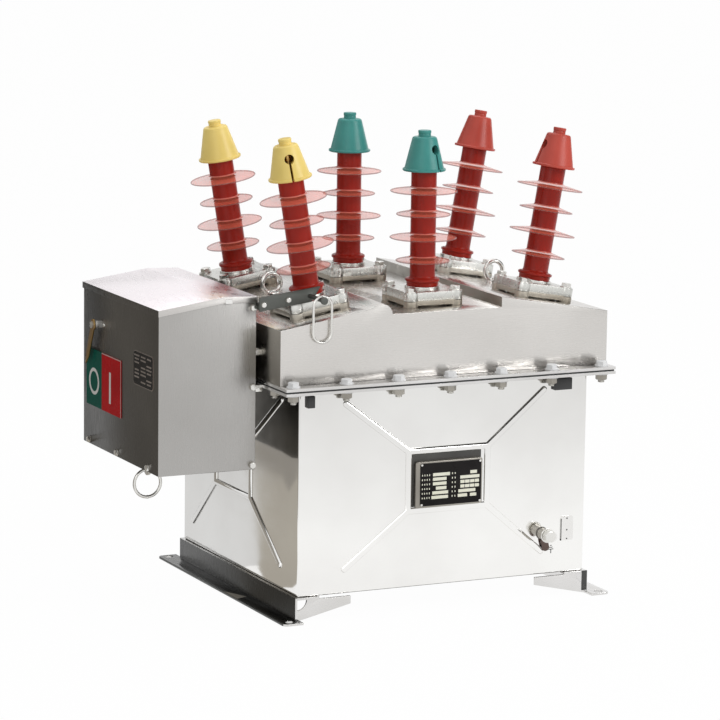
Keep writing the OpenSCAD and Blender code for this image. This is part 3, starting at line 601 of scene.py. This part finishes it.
def shedProfile(s, z, r):
    core, rim, fillet = s["core"], s["rim"] / 2, s["fillet"]
    low = z + s["droop"] - s["root"] / 2 + rim
    high = low + s["root"]
    lowSlope = (z - low) / (r - rim - core)
    highSlope = (z + 2 * rim - high) / (r - rim - core)
    edge = [math.radians(a) for a in range(-90, 91, 30)]
    return (bend((core, low - fillet), (core, low), (core + fillet, low + lowSlope * fillet))
            + [(r - rim + rim * math.cos(a), z + rim + rim * math.sin(a)) for a in edge]
            + bend((core + fillet, high + highSlope * fillet), (core, high), (core, high + fillet)))


def onRim(s, face):
    for i, r in enumerate(s["shedRadii"]):
        level = heightOf(face) - s["firstShed"] - i * s["pitch"] - s["rim"] / 2
        if abs(level) < s["rim"] and reachOf(face) > r - s["rimReach"]:
            return True
    return False


def makeBushing(s):
    collar, foot, top, core, length = (s[k] for k in ("collar", "collarFoot", "collarHeight", "core", "length"))
    brow = top - s["lip"]
    low, middle, high = (top * share for share in s["flare"])
    profile = [(s["shank"], -s["shankDepth"]), (s["shank"], -0.5), (foot, 0)]
    profile += bend((foot + 0.5, low), (foot + 1, middle), (collar, high))
    profile += roundEdge(collar, brow, s["edge"]) + [(collar - 2, brow), (collar - 2.6, top)]
    profile += bend((core + 4, top), (core, top), (core, top + 5))
    for i, r in enumerate(s["shedRadii"]):
        profile += shedProfile(s, s["firstShed"] + i * s["pitch"], r)
    profile += roundEdge(core, length, s["edge"])
    profile += offsets(s["stud"], length, ((0, 0), (0, s["studLength"] - 1), (-1, s["studLength"])))
    bushing = turned("bushing", profile, 72)
    coat(bushing, "silicone")
    coatFaces(bushing, "shedSkin", lambda f: reachOf(f) > core + s["skinOut"] and heightOf(f) > top + s["skinUp"])
    # Painted shade: the rims are darker and denser than the sheds, for the dark edge of thin silicone seen edge on
    coatFaces(bushing, "shedRimShade", lambda f: onRim(s, f))
    # Painted highlight: a lighter ring on the upward faces where each shed meets the core
    coatFaces(bushing, "shedRootHighlight", lambda f: f.normal.z > s["rootSlope"] and heightOf(f) > top + s["rootUp"]
              and core + s["rootOut"] < reachOf(f) < core + s["fillet"])
    coatFaces(bushing, "brass", lambda f: heightOf(f) > length + 0.1)
    return shift(bushing, (0, 0, roofSettings["stack"]))


# Caps: a lip, a cone and a knob on a neck, the front ones with a wire hole over a slit
capSettings = {
    "lip": 38, "lipHeight": 4, "cone": 35, "top": 21, "height": 60, "knob": 11.5, "knobHeight": 11, "edge": 1.5,
    "neck": ((0.3, 0), (-0.5, 0.8), (-0.5, 4.6), (-0.9, 5.2), (-0.1, 6)),
    "bore": 18.5, "wall": 3.5, "hole": 8.5, "holeHeight": 38, "slit": 4, "clear": 5, "gap": 0.3,
    "turns": {"left": -16, "centre": 22, "right": -92},
    "paints": {"left": "cap_yellow", "centre": "cap_green", "right": "cap_red"},
}


def makeCap(s, wired):
    lip, low, cone, top, high, wall = (s[k] for k in ("lip", "lipHeight", "cone", "top", "height", "wall"))
    profile = [(lip - 1, 0), (lip, 1)] + roundEdge(lip, low, 1)
    profile += bend((cone + 1.5, low), (cone, low), (cone - 0.5, low + 1.5))
    profile += bend((top + 1, high - 4), (top, high), (top - 4, high))
    profile += offsets(s["knob"], high, s["neck"]) + roundEdge(s["knob"], high + s["knobHeight"], s["edge"])
    cap = turned("cap", profile, 64)
    inner = [(s["bore"], -1), (s["bore"], low + wall), (top - 2 - wall, high - wall)]
    cut(cap, turned("capInside", inner, 48))
    softEdges(cap, 0.5, 2, 60)
    if wired:
        depth, up = lip + s["clear"], s["holeHeight"]
        cut(cap, shift(rod("wireHole", s["hole"], 0, depth, 32), (0, 0, up), (90, 0, 0)))
        cut(cap, block("slit", (s["slit"], depth, up + 1), (0, -depth / 2, up / 2 - 0.5)))
    return shift(cap, (0, 0, roofSettings["stack"] + bushingSettings["length"] + s["gap"]))


# Clamps: a cast seat, a machined plate with round ears, a bright ring and four bolts
clampSettings = {
    "seat": 44, "low": 108, "up": 106, "corner": 20, "lift": 3, "lowTop": 11, "upTop": 26,
    "ring": 31, "ringEdge": 1.2, "bore": 28.6, "ear": 13, "pitch": 86,
    "boltAcross": 16, "boltHeight": 6.5, "washer": 10.5, "washerThick": 1.6,
}


def makeHex(name, across, height):
    deselectAll()
    corner = across / 2 / math.cos(math.pi / 6)
    bpy.ops.mesh.primitive_cylinder_add(vertices=6, radius=corner, depth=height, location=(0, 0, height / 2))
    head = newest(name)
    applyMoves()
    wide, narrow, chamfer = across * 0.62, across * 0.47, across * 0.09
    cone = turned("chamfer", [(wide, -1), (wide, height - chamfer), (narrow, height)], 36)
    combine(head, cone, "INTERSECT")
    return head


def atCorners(obj, pitch, name):
    # Copies at the corners of a square, each turned its own way as bolts are
    copies = []
    for x in (-1, 1):
        for y in (-1, 1):
            place = (x * pitch / 2, y * pitch / 2, 0)
            copies.append(shift(copyOf(obj, name), place, (0, 0, 17 * x + 40 * y)))
    bpy.data.objects.remove(obj)
    return joined(name, copies)


def makePlate(s, slot, width, span, earSpan, ease, seat=None):
    low, high = span
    plate = block("clampPlate", (width, width, high - low), (0, 0, (high + low) / 2))
    roundCorners(plate, s["corner"])
    if seat:
        combine(plate, rod("seat", seat, *earSpan, 64))
    combine(plate, atCorners(rod("ear", s["ear"], *earSpan, 32), s["pitch"], "ears"))
    bored(plate, s["bore"])
    softEdges(plate, ease, 2, 50)
    coat(plate, slot)
    return plate


def makeClamp(s):
    middle, top = s["lowTop"], s["upTop"]
    low = makePlate(s, "casting", s["low"], (s["lift"], middle), (0, middle - 1), 1.2, s["seat"])
    up = makePlate(s, "clampTop", s["up"], (middle, top), (middle, top), 1)
    ring = puck("clampRing", s["ring"], top, roofSettings["stack"] - 0.2, s["ringEdge"], 72, 4)
    bored(ring, s["bore"], sides=72)
    coat(ring, "zinc")
    level = top + s["washerThick"]
    washer = puck("washer", s["washer"], top, level, 0.4, 24)
    head = shift(makeHex("clampBolt", s["boltAcross"], s["boltHeight"]), (0, 0, level))
    bolts = atCorners(joined("clampBolt", [washer, head]), s["pitch"], "clampBolts")
    coat(bolts, "zinc")
    return joined("clamp", [low, up, ring, bolts])


def standAll():
    clamp = makeClamp(clampSettings)
    bushing = makeBushing(bushingSettings)
    caps = {"front": makeCap(capSettings, True), "rear": makeCap(capSettings, False)}
    for phase, side in phases.items():
        for row, sign in rows.items():
            seat, lean = seatOn(roofSettings, side, sign)
            name = f"{phase}_{row}"
            piece = shift(copyOf(clamp, "clamp_dressed_" + name), seat, lean)
            settle(piece, "casting", "clamp_" + name)
            piece = shift(copyOf(bushing, "bushing_turned_" + name), seat, lean)
            settle(piece, "silicone", "bushing_" + name)
            piece = copyOf(caps[row], "cap_moulded_" + name)
            if row == "front":
                shift(piece, turn=(0, 0, capSettings["turns"][phase]))
            settle(shift(piece, seat, lean), capSettings["paints"][phase], "cap_" + name)
    for pattern in (clamp, bushing, *caps.values()):
        bpy.data.objects.remove(pattern)


standAll()
print("bushings, caps and clamps ready")

# Tank: a sheet shell with round corners and half round pressed beads
tankSettings = {
    "size": (562, 508, 360), "floor": 41, "corner": 5, "wall": 3, "hem": 3,
    "beadWidth": 12, "beadRise": 4, "frameWidth": 154, "frameHeight": 106, "frameZ": 189,
    "reachX": 193, "reachZ": 146, "frameShiftLong": 6, "frameShiftEnd": 28, "reachShiftEnd": 14,
}


def makeBead(s, start, end):
    # Half round pressed bead between two points of a wall that faces -Y
    run = Vector((end[0] - start[0], 0, end[1] - start[1]))
    deselectAll()
    bpy.ops.mesh.primitive_uv_sphere_add(segments=16, ring_count=9, radius=s["beadWidth"] / 2)
    bead = shift(newest("bead"), turn=(0, 90, 0))
    startEdit(bead)
    for sign in (-1, 1):
        pick("VERT", lambda v: sign * v.co.x > 0.01)
        bpy.ops.transform.translate(value=(sign * run.length / 2, 0, 0))
    endEdit()
    bead.scale = (1, s["beadRise"] / s["beadWidth"] * 2, 1)
    applyMoves(location=False, scale=True)
    middle = ((start[0] + end[0]) / 2, 0, (start[1] + end[1]) / 2)
    return shift(bead, middle, (0, -math.degrees(math.atan2(run.z, run.x)), 0))


def makeWallBeads(s, distance, frameShift, reachShift, turn):
    # A frame in the middle of a wall, with a bead from each of its corners
    x, z = s["frameWidth"] / 2, s["frameHeight"] / 2
    beads = []
    for a in (-1, 1):
        side, reach = frameShift + a * x, reachShift + a * s["reachX"]
        beads.append(makeBead(s, (frameShift - x, a * z), (frameShift + x, a * z)))
        beads.append(makeBead(s, (side, -z), (side, z)))
        for b in (-1, 1):
            beads.append(makeBead(s, (side, b * z), (reach, b * s["reachZ"])))
    wall = shift(joined("beads", beads), (0, -distance, s["floor"] + s["frameZ"]))
    return shift(wall, turn=(0, 0, turn))


def makeTank(s):
    length, width, height = s["size"]
    tank = block("tankSheet", s["size"], (0, 0, s["floor"] + height / 2))
    roundCorners(tank, s["corner"], 8)
    startEdit(tank)
    pick("FACE", faces("+z"))
    bpy.ops.mesh.delete(type="FACE")
    pick("EDGE", lambda e: all(v.co.z < s["floor"] + 1 for v in e.verts))
    bpy.ops.mesh.bevel(offset=s["hem"], segments=3, affect="EDGES")
    endEdit()
    modify(tank, "SOLIDIFY", thickness=s["wall"], offset=-1, use_even_offset=True)
    beads = [
        makeWallBeads(s, width / 2, s["frameShiftLong"], 0, 0),
        makeWallBeads(s, width / 2, -s["frameShiftLong"], 0, 180),
        makeWallBeads(s, length / 2, -s["frameShiftEnd"], -s["reachShiftEnd"], -90),
        makeWallBeads(s, length / 2, s["frameShiftEnd"], s["reachShiftEnd"], 90),
    ]
    combine(tank, joined("beads", beads), "UNION", True)
    coat(tank, "tank")
    # Painted shade along the tank's bottom hem
    coatFaces(tank, "underside", lambda f: f.normal.z < -0.5 and heightOf(f) < s["floor"] + s["hem"])
    settle(tank, "tank", "tank_shell", smooth=40)


makeTank(tankSettings)
print("tank ready")

# Flange bolts with washers, nuts and threaded tails, those on the short sides without heads
boltSettings = {
    "across": 18, "head": 7.2, "nut": 9.6, "tail": 4.8, "washer": 12, "washerThick": 2,
    "thread": 6, "threadDepth": 0.7, "threadPitch": 1.6, "flange": (640, 570), "under": 401, "over": 414,
    "pitch": 100, "long": 7, "short": 5, "edge": 16, "longTurns": (13, 29), "shortTurns": (19, 7),
}


def makeBolt(s, headed):
    under, over, thin = s["under"], s["over"], s["washerThick"]
    core = s["thread"] - s["threadDepth"]
    end = under - s["nut"] - s["tail"] - thin
    profile = [(s["thread"] - 1, end)]
    z = end + 1
    while z < under - s["nut"]:
        profile += [(s["thread"], z), (core, z + s["threadPitch"] / 2)]
        z += s["threadPitch"]
    shank = turned("shank", profile + [(core, over)], 20)
    nut = shift(makeHex("nut", s["across"], s["nut"]), (0, 0, under - thin), (180, 0, 0))
    coat(shank, "zinc")
    coat(nut, "nutSteelAndShade")
    parts = [shank, nut, rod("washer", s["washer"], under - thin, under, 28)]
    if headed:
        parts.append(rod("washer", s["washer"], over, over + thin, 28))
        parts.append(shift(makeHex("head", s["across"], s["head"]), (0, 0, over + thin)))
    return joined("bolt", parts)


def makeBolts(s):
    headed, stud = makeBolt(s, True), makeBolt(s, False)
    x, y = (side / 2 - s["edge"] for side in s["flange"])
    bolts = []
    for i in range(s["long"]):
        for row in (-1, 1):
            place = ((i - (s["long"] - 1) / 2) * s["pitch"], row * y, 0)
            turn = s["longTurns"][0] * i + s["longTurns"][1] * row
            bolts.append(shift(copyOf(headed, "bolt"), place, (0, 0, turn)))
    for i in range(s["short"]):
        for side in (-1, 1):
            place = (side * x, (i - (s["short"] - 1) / 2) * s["pitch"], 0)
            turn = s["shortTurns"][0] * i + s["shortTurns"][1] * side
            bolts.append(shift(copyOf(stud, "bolt"), place, (0, 0, turn)))
    bpy.data.objects.remove(headed)
    bpy.data.objects.remove(stud)
    settle(joined("flange_bolt_set", bolts), "zinc", "flange_bolts")


makeBolts(boltSettings)
print("flange bolts ready")

# Sheet pieces whose solids are right: their edges are eased, many faces get painted shade, the lid's top a painted
# highlight, and the lid's left fold is moved. Heights and moves are in metres, as the solids are
sheetSettings = {
    "eased": {
        "base_member_left": 1.2, "base_member_right": 1.2, "tank_flange": 0.7, "cover_flange": 0.7, "gasket": 0.6,
        "cover_shell": 2.0, "mechanism_box": 1.6, "mechanism_lid": 0.7, "box_spacers": 0.8, "flange_pads": 1.2,
        "hanger_strap": 0.8, "pull_ear": 0.8,
    },
    "footBelow": 0.01, "lidAbove": 0.541, "foldBefore": -0.518, "foldMove": (0.0075, 0, 0.005),
    "webAbove": 0.03, "endFold": (11, 1, 36), "endFoldX": 281.8, "endFoldOut": 0.1, "endFoldZ": 23,
}


def makeFold(name, size, place, slot, paint):
    fold = block(name, size, place)
    softEdges(fold, 0.3, 1)
    coat(fold, paint)
    settle(fold, slot)


def makeSheets(s):
    sheets = {node: rounded(node, width) for node, width in s["eased"].items()}
    left, up = faces("-x"), faces("+z")
    # Painted shade on faces that look left, down or into the shade, and painted light on the lid's top; the lid's
    # skirt keeps its own colour
    coats = (
        ("cover_shell", "nutSteelAndShade", left),
        ("tank_flange", "underside", faces("-z")),
        ("mechanism_box", "underside", faces("+x", "-z")),
        ("mechanism_box", "boxShade", left),
        ("base_member_left", "baseShade", lambda f: left(f) or (up(f) and heightOf(f) < s["footBelow"])),
        ("base_member_right", "baseShade", faces("+x")),
        ("mechanism_lid", "lidSkirt", lambda f: True),
        ("mechanism_lid", "boxShade", left),
        ("mechanism_lid", "lidTop", lambda f: up(f) and heightOf(f) > s["lidAbove"]),
    )
    for node, slot, test in coats:
        coatFaces(sheets[node], slot, test)
    startEdit(sheets["mechanism_lid"])
    pick("VERT", lambda v: v.co.x < s["foldBefore"])
    bpy.ops.transform.translate(value=s["foldMove"])
    endEdit()
    web = [v.co.y for v in nodes["base_member_right"].data.vertices if v.co.z > s["webAbove"]]
    place = (s["endFoldX"], min(web) / mm - s["endFoldOut"], s["endFoldZ"])
    # A small fold at the front of the right base's web, in painted shade
    makeFold("end_fold", s["endFold"], place, "base", "baseShade")


makeSheets(sheetSettings)
print("sheets ready")

# Walls of the tank and the box that carry the small pieces
wallSettings = {
    "tankFront": -254, "boxLeft": -515, "boxFront": -188, "boxRear": 162, "pinY": 94, "pinZ": 480, "pointerX": -522,
}


def hang(piece, wall, across, height, slot, *replaced):
    # Turns a piece that faces -Y to the front of the tank or the left of the box, and settles it there
    s = wallSettings
    place = (across, s["tankFront"], height) if wall == "tank" else (s["boxLeft"], across, height)
    shift(piece, place, (0, 0, 0 if wall == "tank" else -90))
    settle(piece, slot, *replaced)


def makeScrew(name, across, height, washer, thick=1.2):
    foot = puck("washer", washer, -0.4, thick, 0.3, 24)
    head = shift(makeHex(name, across, height), (0, 0, thick))
    coat(foot, "nutSteelAndShade")
    coat(head, "zinc")
    return joined(name, [foot, head])


def makeRivet(radius, height, slot="zinc"):
    rivet = puck("rivet", radius, -0.4, height, height * 0.95, 20, 4)
    coat(rivet, slot)
    return shift(rivet, turn=(90, 0, 0))


def placed(obj, places, name):
    # Copies of one piece at several places and turns
    copies = [shift(copyOf(obj, name), place, turn) for place, turn in places]
    bpy.data.objects.remove(obj)
    return joined(name, copies)


# Plate block: a dark sheet of painted shade above and left of it, a bright holder and a black plate with pale fields
# and small marks
blockSettings = {
    "middle": (6.5, 224), "size": (119, 76), "backing": (136, 94), "shadeSheetShift": (-4.5, 7),
    "holder": 3, "holderLeft": 8, "holderCorner": 4, "depth": 12, "plate": 1.6, "cut": 3.5,
    "row": 8.1, "firstRow": 21, "field": 5.6,
    "left": ((24, 57), (24, 50.5), (24, 50.5), (30, 50.5), (23, 54), (21.5, 54)),
    "right": ((97, 110), (77.5, 115), (77.5, 115), (77.5, 115), (74, 107.5), (73, 91.5)),
    "cells": (2, 3), "cellCuts": (86.5, 96.5, 106), "extra": (97, 109.5),
    "mark": (1.6, 3), "marks": {"left": (3.5, 4.6, 4), "right": (62, 5.5, 2)},  # first, pitch and number
    "rivet": (2.2, 1.1), "rivetIn": 2.6,
}


def makePlateBlock(s):
    width, height = s["size"]
    rim, wide, back = s["holder"], s["holderLeft"], s["depth"] - 2
    # Painted shade: a dark sheet that shows above and to the left of the holder
    backing = tile("backing", *s["backing"], 1.2, *s["shadeSheetShift"], 0, 2)
    holder = tile("nutSteelAndShade", width + rim + wide, height + 2 * rim, back, (rim - wide) / 2, corner=s["holderCorner"])
    softEdges(holder, 1.2, 3, 50)
    plate = tile("plate_black", width, height, s["plate"], 0, 0, back, s["cut"])
    softEdges(plate, 0.3, 1, 50)
    parts = [backing, holder, plate]
    front = s["depth"] - 0.4
    for column in ("left", "right"):
        first, pitch, number = s["marks"][column]
        for i, (start, end) in enumerate(s[column]):
            v = height / 2 - s["firstRow"] - i * s["row"]
            spans = [(start, end)]
            if column == "right" and i in s["cells"]:
                ends = (start, *s["cellCuts"], end)
                spans = [(a + 0.4, b - 0.6) for a, b in zip(ends, ends[1:])]
            if column == "right" and i == len(s[column]) - 1:
                spans.append(s["extra"])
            for a, b in spans:
                parts.append(tile("paleField", b - a, s["field"], 0.3, (a + b) / 2 - width / 2, v, front, 0.5))
            for k in range(number):
                parts.append(tile("paleField", *s["mark"], 0.2, first + pitch * k - width / 2, v, front))
    for x in (-1, 1):
        for z in (-1, 1):
            place = (x * (width / 2 - s["rivetIn"]), -front + 0.1, z * (height / 2 - s["rivetIn"]))
            parts.append(shift(makeRivet(*s["rivet"]), place))
    hang(joined("plate_block_dressed", parts), "tank", *s["middle"], "plate_black", "plate_block")


# Rating plate on the box: dark, with a thin trim and rows of small fields, some left out
ratingSettings = {
    "middle": (-121.5, 433), "size": (89, 60), "corner": 7, "thick": 1.5, "face": 0.5, "trim": 3,
    "rows": 8, "firstRow": 7.5, "pitch": 6.3, "columns": (-28, 1, 27), "field": (24, 2.7),
}


def makeRatingPlate(s):
    width, height = s["size"]
    back = s["thick"] - s["face"]
    parts = [tile("tanField", width, height, back, corner=s["corner"]),
             tile("plate_black", width - s["trim"], height - s["trim"], s["face"], 0, 0, back, s["corner"] - 1)]
    for i in range(s["rows"]):
        v = height / 2 - s["firstRow"] - i * s["pitch"]
        for k, u in enumerate(s["columns"]):
            if (i + k) % 4 != 3:
                long = s["field"][0] - (i * 5 + k * 3) % 7
                parts.append(tile("tanField", long, s["field"][1], 0.2, u, v, s["thick"] - 0.1, 0.5))
    hang(joined("rating_plate_dressed", parts), "box", *s["middle"], "plate_black", "rating_plate")


# Status plates: a ring on the green half and a bar on the red half, as on switches everywhere
statusSettings = {
    "height": 102, "middleZ": 382, "thick": 1.5, "paint": 0.2, "signDrop": -6,
    "open": ("status_green", 73, 107.5), "closed": ("status_red", 91, 25.5),  # slot, width and middle
    "ring": 21, "stroke": 6, "bar": (8, 56), "trim": 2,
}


def makeStatusPlates(s):
    height, paint, trim, drop = s["height"], s["paint"], s["trim"], s["signDrop"]
    front = s["thick"] - paint
    for half in ("open", "closed"):
        slot, width, middle = s[half]
        parts = [tile(slot, width, height, front, corner=1)]
        if half == "open":
            sign = rod("ring", s["ring"] + s["stroke"] / 2, 0, paint, 48)
            cut(sign, rod("hole", s["ring"] - s["stroke"] / 2, -1, 1, 48))
            coat(sign, "whiteSign")
            parts.append(shift(sign, (0, -front, drop), (90, 0, 0)))
        else:
            right, top = width / 2 - trim / 2, height / 2 - trim / 2
            parts += [tile("whiteSign", *s["bar"], paint, drop, drop, front, 1),
                      tile("edgeTrim", trim, height, paint, right, 0, front),
                      tile("edgeTrim", width - trim, trim, paint, -trim / 2, top, front)]
        hang(joined("status_dressed_" + half, parts), "box", middle, s["middleZ"], slot, "status_plate_" + half)


# Pointer: a flat brass arm with a round eye and a point, on a pin with a hex head
pointerSettings = {
    "length": 82, "point": 20, "tip": 0.08, "width": 13, "thick": 3, "eye": 10, "bore": 4.05, "rest": 25,
    "pin": 4, "collar": 7, "gap": 7, "play": 0.3, "across": 12, "head": 3,
}


def makePointer(s):
    pinY, pinZ, thick = wallSettings["pinY"], wallSettings["pinZ"], s["thick"]
    neck = s["length"] - s["point"]
    arm = block("arm", (neck, s["width"], thick), (-neck / 2, 0, thick / 2))
    startEdit(arm)
    pick("FACE", faces("-x"))
    bpy.ops.mesh.extrude_region_move(TRANSFORM_OT_translate={"value": (-s["point"], 0, 0)})
    bpy.ops.transform.resize(value=(1, s["tip"], 1), center_override=(0, 0, 0))
    endEdit()
    combine(arm, rod("eye", s["eye"], 0, thick, 40))
    bored(arm, s["bore"], thick + 1, 32)
    softEdges(arm, 0.4, 2, 40)
    shift(arm, turn=(0, -90, 0))
    shift(arm, (wallSettings["pointerX"], pinY, pinZ), (s["rest"], 0, 0))
    arm.name = "pointer_dressed"
    settle(arm, "brass", "pointer", body="pointer")
    step, head = s["gap"] - s["play"], s["gap"] + thick + s["play"]
    profile = [(s["collar"], 0)] + roundEdge(s["collar"], step, 0.5, 2) + [(s["pin"], step), (s["pin"], head + 0.2)]
    pin = turned("pin", profile, 40)
    nut = shift(makeHex("pinNut", s["across"], s["head"]), (0, 0, head))
    pin = shift(joined("pointer_pin_dressed", [pin, nut]), (wallSettings["boxLeft"], pinY, pinZ), (0, -90, 0))
    settle(pin, "zinc", "pointer_pin")


# Screws of the box and the strap, the pointer's stop and a small fold on the lid
screwSettings = {
    "front": ((-340, 542), (-340, 404), (-340, 267)), "left": ((132, 267), (-1, 267), (-144, 267)),
    "boxScrew": (10, 4, 6), "stop": (63.8, 483), "stopSize": (3, 1.6),
    "strap": ((-284.4, 555.5), (-330.6, 549.5)), "strapFront": -209.3, "strapScrew": (8, 3.5, 4.6, 0.8),
    "fold": (13, 1.2, 8), "foldPlace": (-386.5, -190.6, 555.5),
}


def makeScrews(s):
    front, rear, left = (wallSettings[k] for k in ("boxFront", "boxRear", "boxLeft"))
    places = []
    for x, z in s["front"]:
        places += [((x, front, z), (90, 0, 0)), ((x, rear, z), (-90, 0, 0))]
    places += [((left, y, z), (0, -90, 0)) for y, z in s["left"]]
    settle(placed(makeScrew("screw", *s["boxScrew"]), places, "box_screw_set"), "zinc")
    stop = makeRivet(*s["stopSize"])
    stop.name = "stop_rivet"
    hang(stop, "box", *s["stop"], "zinc")
    places = [((x, s["strapFront"], z), (90, 0, 0)) for x, z in s["strap"]]
    settle(placed(makeScrew("screw", *s["strapScrew"]), places, "strap_screw_set"), "zinc")
    makeFold("lid_fold", s["fold"], s["foldPlace"], "tag", "tag")


# Tag and earth bolt on the tank. The bolt has a stack of washers, a lug, and a disc over the earth sign
tagSettings = {
    "middle": (245.5, 121), "size": (25, 44), "corner": 4, "dot": (1.4, 0.6), "dots": ((0, 18), (0, -3), (0, -19)),
}
earthSettings = {
    "place": (195, 116), "barrel": 10, "length": 22, "weld": 3, "washer": 13, "tops": (2.2, 5, 6),
    "across": 19, "head": 7.8, "headTurn": 14, "lug": (14, 26, 3), "lugLean": -14,
    "disc": (217.5, 107), "discSize": (9.5, 0.8), "sign": (214.6, 86),
    "strokes": ((1.4, 7, -5), (10, 1.4, -1), (6.6, 1.4, 2.4), (3, 1.4, 5.8)),
}


def makeTag(s):
    width, height = s["size"]
    parts = [tile("tag", width, height, 1, corner=s["corner"]),
             tile("backing", 1.6, height - 4, 0.5, -width / 2 + 0.8, -2, 0.8),
             tile("backing", 5, 1, 0.3, -width / 2 + 5, height / 2 - 0.6, 0.8)]
    for u, v in s["dots"]:
        parts.append(shift(makeRivet(*s["dot"], "backing"), (u, -1, v)))
    hang(joined("small_tag_dressed", parts), "tank", *s["middle"], "tag", "small_tag")


def makeEarthBolt(s):
    r, length, weld, washer = s["barrel"], s["length"], s["weld"], s["washer"]
    profile = bend((r + weld, -0.5), (r, 0), (r, weld)) + [(r, length - 1), (r - 1, length)]
    barrel = turned("barrel", profile, 40)
    coat(barrel, "nutSteelAndShade")
    # Painted shade at the foot of the barrel, where it meets the tank
    coatFaces(barrel, "underside", lambda f: heightOf(f) < weld + 0.5)
    low, middle, top = (length + up for up in s["tops"])
    flat = puck("washer", washer, length, low, 0.5, 40)
    spring = rod("spring", washer - 3, low, middle, 32)
    cut(spring, block("notch", (1, 20, 6), (0, 10, length + 4)))
    upper = rod("washer", washer - 1.5, middle, top, 40)
    head = shift(makeHex("head", s["across"], s["head"]), (0, 0, top), (0, 0, s["headTurn"]))
    bright = joined("bright", [flat, spring, upper, head])
    coat(bright, "zinc")
    bolt = shift(joined("bolt", [barrel, bright]), turn=(90, 0, 0))
    wide, long, thick = s["lug"]
    lug = block("lug", (wide, thick, long), (0, -4, -long / 2 - r + 3))
    roundCorners(lug, wide * 0.45, 5, 1)
    softEdges(lug, 0.5, 2)
    coat(lug, "lug")
    shift(lug, turn=(0, s["lugLean"], 0))
    x, z = s["place"]
    radius, thin = s["discSize"]
    disc = puck("disc", radius, 0, thin, 0.3, 40)
    shift(disc, (s["disc"][0] - x, 0, s["disc"][1] - z), (90, 0, 0))
    coat(disc, "tag")
    u, v = s["sign"][0] - x, s["sign"][1] - z
    parts = [bolt, lug, disc] + [tile("backing", *size, 0.3, u, v + up) for *size, up in s["strokes"]]
    hang(joined("earth_boss_dressed", parts), "tank", x, z, "zinc", "earth_boss")


# Lifting eyes, hanging link and pull ring, all of round bar
barSettings = {
    "eye": {"radius": 17.5, "bar": 4, "shoulder": 11, "rise": 7},
    "link": {"radius": 17.25, "bar": 2.25, "run": 45, "place": (-243.5, -262.25, 549.43)},
    "ring": {"radius": 24.75, "bar": 2.75, "place": (-470, -30, 214.8)},
    "weld": ((0.6, 0, -1.1), (1, 0.1, -0.8), (1, 0.5, 0), (1, 0.1, 0.8), (0.6, 0, 1.1)),
}


def makeLoop(name, s):
    deselectAll()
    bpy.ops.mesh.primitive_torus_add(major_segments=64, minor_segments=16,
                                     major_radius=s["radius"], minor_radius=s["bar"])
    return shift(newest(name), turn=(90, 0, 0))


def makeWeld(s, r, place, turn=(0, 0, 0)):
    # Thicker place where the ends of a bent bar of radius r are welded together
    return shift(turned("weld", [(r * share + out, r * up) for share, out, up in s["weld"]], 20), place, turn)


def makeBars(s):
    eye, link, ring = s["eye"], s["link"], s["ring"]
    wide, rise, neck = eye["shoulder"], eye["rise"], eye["bar"] + 1
    profile = [(wide, 0), (wide, rise - 2)]
    profile += bend((wide - 1, rise - 1), (neck, rise - 1), (neck, rise + 1.5))
    shoulder = turned("shoulder", profile, 40)
    combine(shoulder, shift(makeLoop("loop", eye), (0, 0, rise + eye["radius"])))
    for name in ("left", "right"):
        piece = copyOf(shoulder, "lifting_eye_forged_" + name)
        shift(piece, *seatOn(roofSettings, phases[name], 0))
        settle(piece, "zinc", "lifting_eye_" + name)
    bpy.data.objects.remove(shoulder)
    loop = makeLoop("link", link)
    startEdit(loop)
    pick("VERT", lambda v: v.co.z < -0.01)
    bpy.ops.transform.translate(value=(0, 0, -link["run"]))
    endEdit()
    weld = makeWeld(s, link["bar"], (link["radius"], 0, -link["run"] / 2))
    loop = shift(joined("hanging_link_bent", [loop, weld]), link["place"])
    settle(loop, "zinc", "hanging_link", body="hanging_link")
    loop = makeLoop("ring", ring)
    weld = makeWeld(s, ring["bar"], (0, 0, -ring["radius"]), (0, 90, 0))
    loop = shift(joined("pull_ring_bent", [loop, weld]), ring["place"])
    settle(loop, "zinc", "pull_ring", body="pull_ring")


makePlateBlock(blockSettings)
makeRatingPlate(ratingSettings)
makeStatusPlates(statusSettings)
makePointer(pointerSettings)
makeScrews(screwSettings)
makeTag(tagSettings)
makeEarthBolt(earthSettings)
makeBars(barSettings)
print("plates, screws and rings ready")
